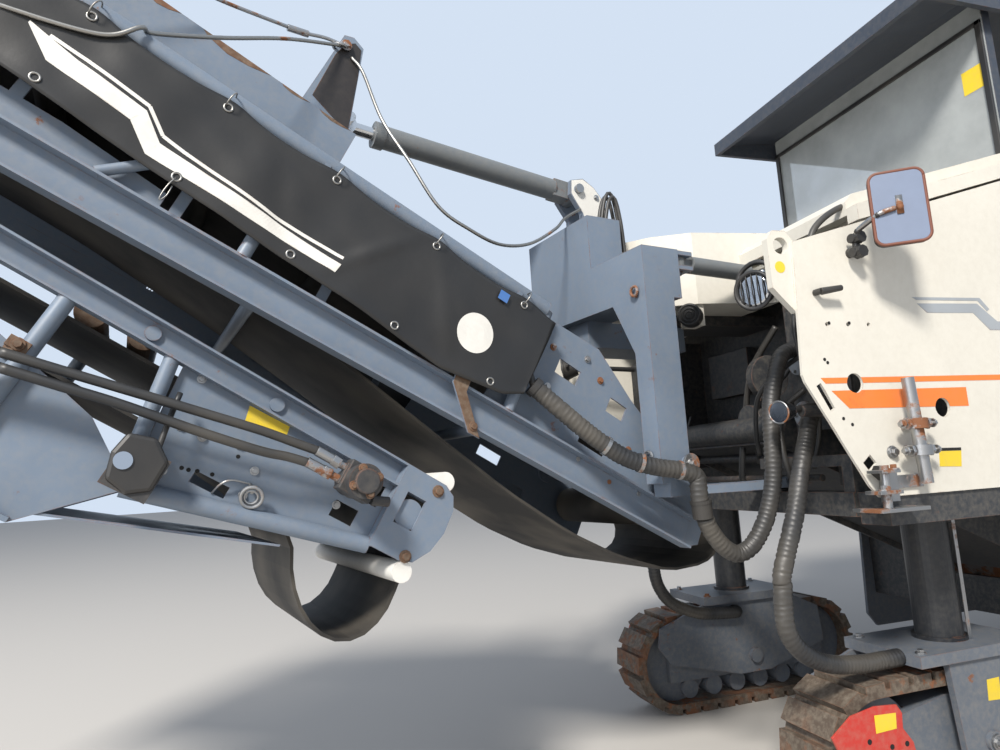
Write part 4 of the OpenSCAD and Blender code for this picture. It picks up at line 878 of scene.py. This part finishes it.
def make_tip_fittings():
    b = Batch("tip_hoses", "tip", "hose_rubber", MAT["hose_rubber"], smooth=True)
    b.path([tip(1.62, .62, .367), tip(1.768, .62, .334), tip(1.924, .622, .299), tip(2.149, .625, .249),
            tip(2.336, .625, .208), tip(2.46, .62, .187), tip(2.536, .62, .174)], .031, 14, .02)
    b.path([tip(1.644, .62, .404), tip(1.793, .62, .373), tip(1.949, .622, .34), tip(2.181, .625, .302),
            tip(2.369, .625, .265), tip(2.45, .62, .24), tip(2.527, .62, .223)], .031, 14, .02)
    b.path([tip(1.40, .60, .45), tip(1.50, .615, .41), tip(1.62, .62, .367)], .031, 14, .02)
    b.path([tip(1.42, .60, .49), tip(1.53, .615, .44), tip(1.644, .62, .404)], .031, 14, .02)
    b.path([tip(2.11, .60, .41), tip(2.085, .59, .30), tip(2.07, .57, .22)], .018, 10, .02)
    b.make()
    b = Batch("tip_steel", "tip", "bare_steel", MAT["bare_steel"], 0.001)
    for p, q in (((2.525, .62, .176), (2.585, .62, .176)), ((2.515, .62, .224), (2.575, .62, .223))):
        b.rod(tip(*p), tip(*q), .036, 14)
    for p, q in (((2.585, .62, .176), (2.615, .62, .178)), ((2.575, .62, .223), (2.605, .62, .222))):
        b.rod(tip(*p), tip(*q), .042, 6)
    b.rod(tip(2.60, .62, .178), tip(2.66, .62, .178), .026, 12)
    b.rod(tip(2.59, .62, .222), tip(2.66, .62, .222), .026, 12)
    for u, w in ((2.10, .136), (2.126, .301), (2.201, .299), (2.315, .265), (2.154, .447), (2.408, .402),
                 (2.702, .288), (2.40, .316)):
        b.bolt(tip(u, .5022, w), tip(0, 1, 0) - tip(0, 0, 0), .020, .012)
    b.ring(tip(2.43, .545, .398), tip(0, 1, .3) - tip(0, 0, 0), .034, .006, 26, 8)
    b.ring(tip(2.43, .535, .398), tip(0, 1, .3) - tip(0, 0, 0), .022, .005, 26, 8)
    b.rod(tip(2.41, .503, .36), tip(2.425, .54, .385), .012, 10)
    b.path([tip(2.319, .503, .442), tip(2.326, .53, .405), tip(2.35, .535, .378), tip(2.405, .525, .362)],
           .007, 8, .01)
    b.make()
    # Small dark discs: painted shade in the holes of the tip's side plate
    b = Batch("tip_hole_shade", "tip", "conveyor_paint", HOLE_SHADE_AND_PRINT)
    for u, w in ((2.199, .413), (2.22, .409), (2.245, .4), (2.29, .388), (2.23, .27), (2.33, .30)):
        skin(b, tip, 1, disc((u, w), .007, 12), .502)
    b.make()
    b = Batch("tip_label", "tip", "conveyor_paint", YELLOW)
    skin(b, tip, 1, [(2.274, .134), (2.425, .13), (2.435, .18), (2.29, .195)], .502)
    b.make()
    b = Batch("tip_rust", "tip", "conveyor_paint", RUSTY, 0.001)
    for side in (1, -1):
        pl = tip if side > 0 else mirror_y(tip)
        b.rod(pl(1.626, .516, .30), pl(1.632, .516, .36), .066, 18)
        b.box(pl, (1.60, .49, .30), (1.66, .552, .335))
        b.bolt(pl(1.63, .552, .318), pl(0, 1, 0) - pl(0, 0, 0), .026, .016)
        b.bolt(pl(3.01, .546, .075), pl(0, 1, 0) - pl(0, 0, 0), .03, .014)
        b.bolt(pl(3.005, .546, .338), pl(0, 1, 0) - pl(0, 0, 0), .03, .014)
        b.box(pl, (2.872, .47, .14), (2.9, .534, .26))
    for k in range(4):
        a = math.pi / 4 + k * math.pi / 2
        b.bolt(tip(2.70 + .045 * math.cos(a), .717, .20 + .045 * math.sin(a)), tip(0, 1, 0) - tip(0, 0, 0),
               .02, .014)
    b.make()
    b = Batch("motor_body", "tip", "drive_iron", MAT["drive_iron"], 0.004)
    b.box(tip, (2.64, .592, .145), (2.76, .66, .255))
    b.box(tip, (2.635, .60, .16), (2.665, .64, .24))
    b.rod(tip(2.70, .716, .20), tip(2.70, .735, .20), .085, 20)
    b.rod(tip(2.77, .63, .235), tip(2.83, .63, .21), .036, 12)
    b.box(tip, (2.665, .66, .165), (2.735, .712, .235))
    b.make()
    b = Batch("lamp_box", "tip", "drive_iron", MAT["black_plastic"], 0.012)
    b.prism(tip, 1, [(2.012, .402), (2.09, .378), (2.155, .425), (2.158, .52), (2.10, .56), (2.03, .545),
                     (2.004, .47)], .552, .648)
    b.make()
    b = Batch("lamp_box_eye", "tip", "drive_iron", LENS, 0.0)
    b.rod(tip(2.045, .649, .478), tip(2.045, .653, .478), .052, 24)
    b.make()
    b = Batch("tip_rollers_white", "tip", "conveyor_paint", WHITE, smooth=False)
    for w in (.03, .39):
        b.rod(tip(3.022, -.5405, w), tip(3.022, .5405, w), .0766, 40)
    b.make()
    b = Batch("tip_idlers", "tip", "belt_rubber", RUSTY)
    for u, w, d in ((1.70, .10, .10), (1.87, .08, .10)):
        b.rod(tip(u, -.36, w), tip(u, -.05, w), d, 20)
        b.rod(tip(u, .05, w), tip(u, .36, w), d, 20)
    b.make()


def make_boom_fittings():
    b = Batch("boom_strap_skin", "boom", "conveyor_paint", RUSTY, 0.001)
    for side in (1, -1):
        pl = boom if side > 0 else mirror_y(boom)
        b.prism(pl, 1, [(1.062, -.071), (1.128, -.071), (1.123, -.18), (.984, -.329), (.931, -.329),
                        (1.056, -.19)], .5581, .5605)
    b.bolt(boom(1.095, .5605, -.10), boom(0, 1, 0) - boom(0, 0, 0), .024, .012)
    b.bolt(boom(.975, .5605, -.30), boom(0, 1, 0) - boom(0, 0, 0), .024, .012)
    b.make()
    # Near-black skin on both sides of the mast bracket: painted shade
    b = Batch("mast_bracket_shade", "boom", "conveyor_paint", BRACKET_SHADE, 0.001)
    for side in (1, -1):
        pl = boom if side > 0 else mirror_y(boom)
        b.prism(pl, 1, [(1.905, .752), (2.111, .814), (2.12, 1.06), (2.108, 1.14), (2.073, 1.177),
                        (2.035, 1.165), (1.985, 1.02)], .1122, .1145)
    b.make()
    b = Batch("boom_steel", "boom", "bare_steel", MAT["bare_steel"], 0.001)
    y = boom(0, 1, 0) - boom(0, 0, 0)
    b.rod(boom(2.10, -.125, 1.128), boom(2.10, .125, 1.128), .034, 16)
    b.bolt(boom(2.10, .125, 1.128), y, .034, .022)
    b.ring(boom(2.12, .118, 1.105), boom(.5, .1, 1) - boom(0, 0, 0), .028, .008, 20, 8)
    b.rod(boom(2.256, .114, 1.062), boom(2.338, .124, 1.018), .03, 14)
    for x, z in ((.56, .255), (.74, .215), (.46, .20), (.70, .04), (.86, .02), (.20, -.02), (.08, -.18),
                 (.25, -.20), (.44, -.18), (.60, -.01)):
        b.bolt(boom(x, .4902, z), y, .022, .012)
    b.path([boom(2.12, .118, 1.122), boom(2.19, .116, 1.10), boom(2.256, .116, 1.062)], .016, 10, .02)
    b.path([boom(2.28, .116, 1.05), boom(2.325, .12, 1.03), boom(2.586, .20, .875), boom(2.80, .28, .76),
            boom(3.10, .38, .59), boom(3.42, .50, .37)], .016, 10, .03)
    b.ring(boom(3.42, .50, .365), boom(0, 1, 0) - boom(0, 0, 0), .02, .007, 18, 8)
    b.make()
    b = Batch("girder_rust", "boom", "conveyor_paint", RUSTY, 0.0)
    rng = random.Random(4)
    for side in (1, -1):
        pl = boom if side > 0 else mirror_y(boom)
        x = 1.9
        while x < 3.9:
            w = rng.uniform(.10, .32)
            h = rng.uniform(.012, .04)
            b.prism(pl, 1, [(x, .7495), (x + w, .7495), (x + w * .9, .7495 - h * .5), (x + w * .6, .7495 - h),
                            (x + w * .3, .7495 - h * .7)], .1502, .1512)
            x += w + rng.uniform(.0, .12)
    b.make()
    b = Batch("boom_tag", "boom", "tarp_fabric", BLUE, 0.0)
    b.box(boom, (1.06, .592, .215), (1.105, .594, .255))
    b.make()
    b = Batch("boom_lines", "boom", "hose_rubber", MAT["hose_rubber"], smooth=True)
    b.path([boom(.86, .50, .16), boom(1.1, .515, .15), boom(1.6, .515, .14), boom(2.2, .515, .13),
            boom(2.8, .515, .12), boom(3.6, .515, .12)], .02, 8, .06)
    b.path([boom(.86, .50, .13), boom(1.1, .515, .12), boom(1.6, .515, .11), boom(2.2, .515, .10),
            boom(2.8, .515, .09), boom(3.6, .515, .09)], .02, 8, .06)
    b.path([boom(.79, .556, -.022), boom(.83, .54, .03), boom(.87, .51, .10), boom(.90, .50, .15)], .03, 10,
           .02)
    b.make()
    b = Batch("hose_sleeve", "boom", "hose_rubber", MAT["black_plastic"], smooth=False)
    b.rod(boom(-.058, .745, -.163), boom(-.094, .742, -.214), .086, 24)
    b.rod(boom(-.05, .7455, -.152), boom(-.058, .745, -.163), .092, 24)
    b.rod(boom(.80, .552, -.018), boom(.775, .558, -.026), .086, 24)
    b.make()
    b = Batch("hose_bands", "boom", "hose_rubber", MAT["bare_steel"], smooth=False)
    for p, q in (((.43, .644, -.118), (.415, .648, -.12)), ((.27, .684, -.124), (.255, .688, -.121)),
                 ((.10, .73, -.08), (.085, .733, -.076))):
        b.rod(boom(*p), boom(*q), .083, 24)
    b.make()


def make_swing_fittings():
    b = Batch("lug_skins", "swing", "conveyor_paint", WHITE, 0.002)
    for side in (1, -1):
        pl = swing if side > 0 else mirror_y(swing)
        b.prism(pl, 1, [(.563, 3.062), (.556, 3.138), (.482, 3.155), (.412, 3.117), (.343, 3.036),
                        (.343, 2.90), (.47, 2.87), (.495, 2.958)], .0782, .0805)
    b.make()
    b = Batch("lug_pins", "swing", "bare_steel", MAT["bare_steel"], 0.001)
    y = swing(0, 1, 0) - swing(0, 0, 0)
    for side in (1, -1):
        b.rod(swing(.52, side * .0925, 3.09), swing(.52, side * .104, 3.09), .052, 20)
        b.bolt(swing(.40, side * .0808, 3.06), y * side, .022, .012)
    for z in (2.37, 1.62):
        b.ring(swing(.645, .60, z), swing(1, 0, 0) - swing(0, 0, 0), .022, .007, 20, 8)
        b.rod(swing(.6305, .60, z - .022), swing(.646, .60, z - .022), .014, 8)
    b.rod(swing(.48, .681, 1.58), swing(.48, .692, 1.58), .09, 24)
    b.bolt(swing(.48, .692, 1.58), y, .03, .018)
    b.make()
    b = Batch("swing_hoses", "swing", "hose_rubber", MAT["hose_rubber"], smooth=True)
    for dy, dz in ((0, 0), (.03, .012), (.055, -.02)):
        b.path([swing(s, .18 + dy, z + dz)
                for s, z in ((.502, 2.652), (.478, 2.859), (.438, 3.0), (.398, 3.01), (.372, 2.881),
                             (.362, 2.70))],
               .02, 10, .014)
    b.make()
    b = Batch("clevis_marks", "swing", "conveyor_paint", RUSTY, 0.001)
    for z in (2.485, 2.575):
        b.rod(swing(.36, .60, z), swing(.36, .60, z + .012), .05, 18)
    b.make()


def make_leg_fittings():
    for x, fr in ((0.0, "front"), (-4.6, "rear")):
        for s, nm in ((1, "left"), (-1, "right")):
            body = f"leg_{fr}_{nm}_body"

            def at(u, y, z, x=x, s=s):
                return world(x + u, s * (.8 + y), z)
            b = Batch(f"column_skin_{fr}_{nm}", body, "leg_paint", COLUMN, smooth=False)
            n = 40
            b.rod(at(0, 0, .706), at(0, 0, 1.275), .2012, n)
            b.rod(at(0, 0, .705), at(0, 0, .722), .235, n)
            b.make()
            b = Batch(f"leg_steel_{fr}_{nm}", body, "bare_steel", MAT["bare_steel"], 0.001)
            b.box(at, (-.075, .098, .706), (-.055, .104, 1.27))
            for u in (-.28, .31):
                for v in (-.17, .17):
                    b.bolt(at(u, v, .705), (0, 0, 1), .03, .018)
            b.rod(at(0, .21, .306), at(0, .222, .306), .07, 20)
            b.bolt(at(0, .222, .306), (0, s, 0), .034, .02)
            b.make()
            b = Batch(f"leg_guard_{fr}_{nm}", body, "leg_paint", RED, 0.002)
            nose, top, low = (.858, .752, .80) if s > 0 else (.72, .69, .70)
            b.prism(at, 1, [(nose, .459), (top, .526), (.627, .545), (.513, .536), (.49, .50), (.495, .44),
                            (.45, .38), (.44, .33), (.55, .25), (low, .33)], .196, .206)
            b.make()
            b = Batch(f"leg_labels_{fr}_{nm}", body, "leg_paint", YELLOW)
            b.prism(at, 1, [(.637, .512), (.525, .506), (.53, .445), (.638, .442)], .2062, .2072)
            b.prism(at, 1, [(-.013, .558), (-.086, .56), (-.08, .467), (-.006, .471)], .1942, .1952)
            b.make()
            # Dark discs: painted shade in the holes of the guard
            b = Batch(f"leg_hole_shade_{fr}_{nm}", body, "leg_paint", HOLE_SHADE_AND_PRINT)
            for c in ((.676, .416), (.565, .379), (.486, .379)):
                b.prism(at, 1, disc(c, .011, 14), .2062, .2072)
            b.make()


# Mirror backs: grey-blue paint, with the blue tint partly a painted sky reflection
MIRROR_BACK_PAINT_AND_SKY = plain("mirror_back_paint_and_sky", (0.20, 0.24, 0.33), 0.16, dust=0.1, amp=0.0)
RIM = plain("mirror_rim", (0.16, 0.05, 0.028), 0.6, dust=0.2)
# Near-black colour of the mast bracket's sides: painted shade, with rust spots and a little dust on it
BRACKET_SHADE = painted("bracket_painted_shade", (0.016, 0.013, 0.013), 0.22, 0.04, 0.5)
COLUMN = painted("column_black", (0.014, 0.016, 0.020), 0.06, 0.10, 0.30)
make_prints()
make_panel_fittings()
make_lamps()
make_bay()
make_screen()
make_tip_fittings()
make_boom_fittings()
make_swing_fittings()
make_leg_fittings()


# Floor and light

# Name, place, aim, size in metres, watts and colour of each lamp
LAMPS = [("key", (14.0, 18.0, 20.5), (1.0, 0.0, 1.5), 4.4, 12400, (1.0, 0.95, 0.88)),
         ("fill", (16.0, 8.0, 6.5), (2.0, 0.0, 1.5), 10.0, 900, (0.92, 0.95, 1.0))]


def make_stage():
    bpy.ops.mesh.primitive_plane_add(size=120, location=(0, 0, -0.002))
    floor = bpy.context.object
    floor.name = "floor"
    m = new_mat("floor")
    n = Nodes(m)
    n.finish((0.52, 0.50, 0.47), 0.9)
    floor.data.materials.append(m)
    w = bpy.data.worlds.new("sky")
    SCENE.world = w
    w.use_nodes = True
    tree = w.node_tree
    lit = tree.nodes["Background"]
    lit.inputs["Color"].default_value = (0.66, 0.74, 0.88, 1)
    lit.inputs["Strength"].default_value = 0.55
    back = tree.nodes.new("ShaderNodeBackground")
    back.inputs["Color"].default_value = (0.66, 0.76, 0.90, 1)
    path = tree.nodes.new("ShaderNodeLightPath")
    seen = path.outputs["Is Camera Ray"]
    for kind in ("Is Glossy Ray", "Is Transmission Ray"):
        either = tree.nodes.new("ShaderNodeMath")
        either.operation = "MAXIMUM"
        tree.links.new(seen, either.inputs[0])
        tree.links.new(path.outputs[kind], either.inputs[1])
        seen = either.outputs[0]
    both = tree.nodes.new("ShaderNodeMixShader")
    tree.links.new(seen, both.inputs[0])
    tree.links.new(lit.outputs[0], both.inputs[1])
    tree.links.new(back.outputs[0], both.inputs[2])
    tree.links.new(both.outputs[0], tree.nodes["World Output"].inputs["Surface"])
    for name, loc, aim, size, power, col in LAMPS:
        lamp = bpy.data.lights.new(name, "AREA")
        lamp.size = size
        lamp.energy = power
        lamp.color = col
        o = bpy.data.objects.new(name, lamp)
        SCENE.collection.objects.link(o)
        o.location = loc
        o.rotation_euler = (V(aim) - V(loc)).to_track_quat("-Z", "Y").to_euler()


make_stage()
SCENE.view_settings.view_transform = "Standard"
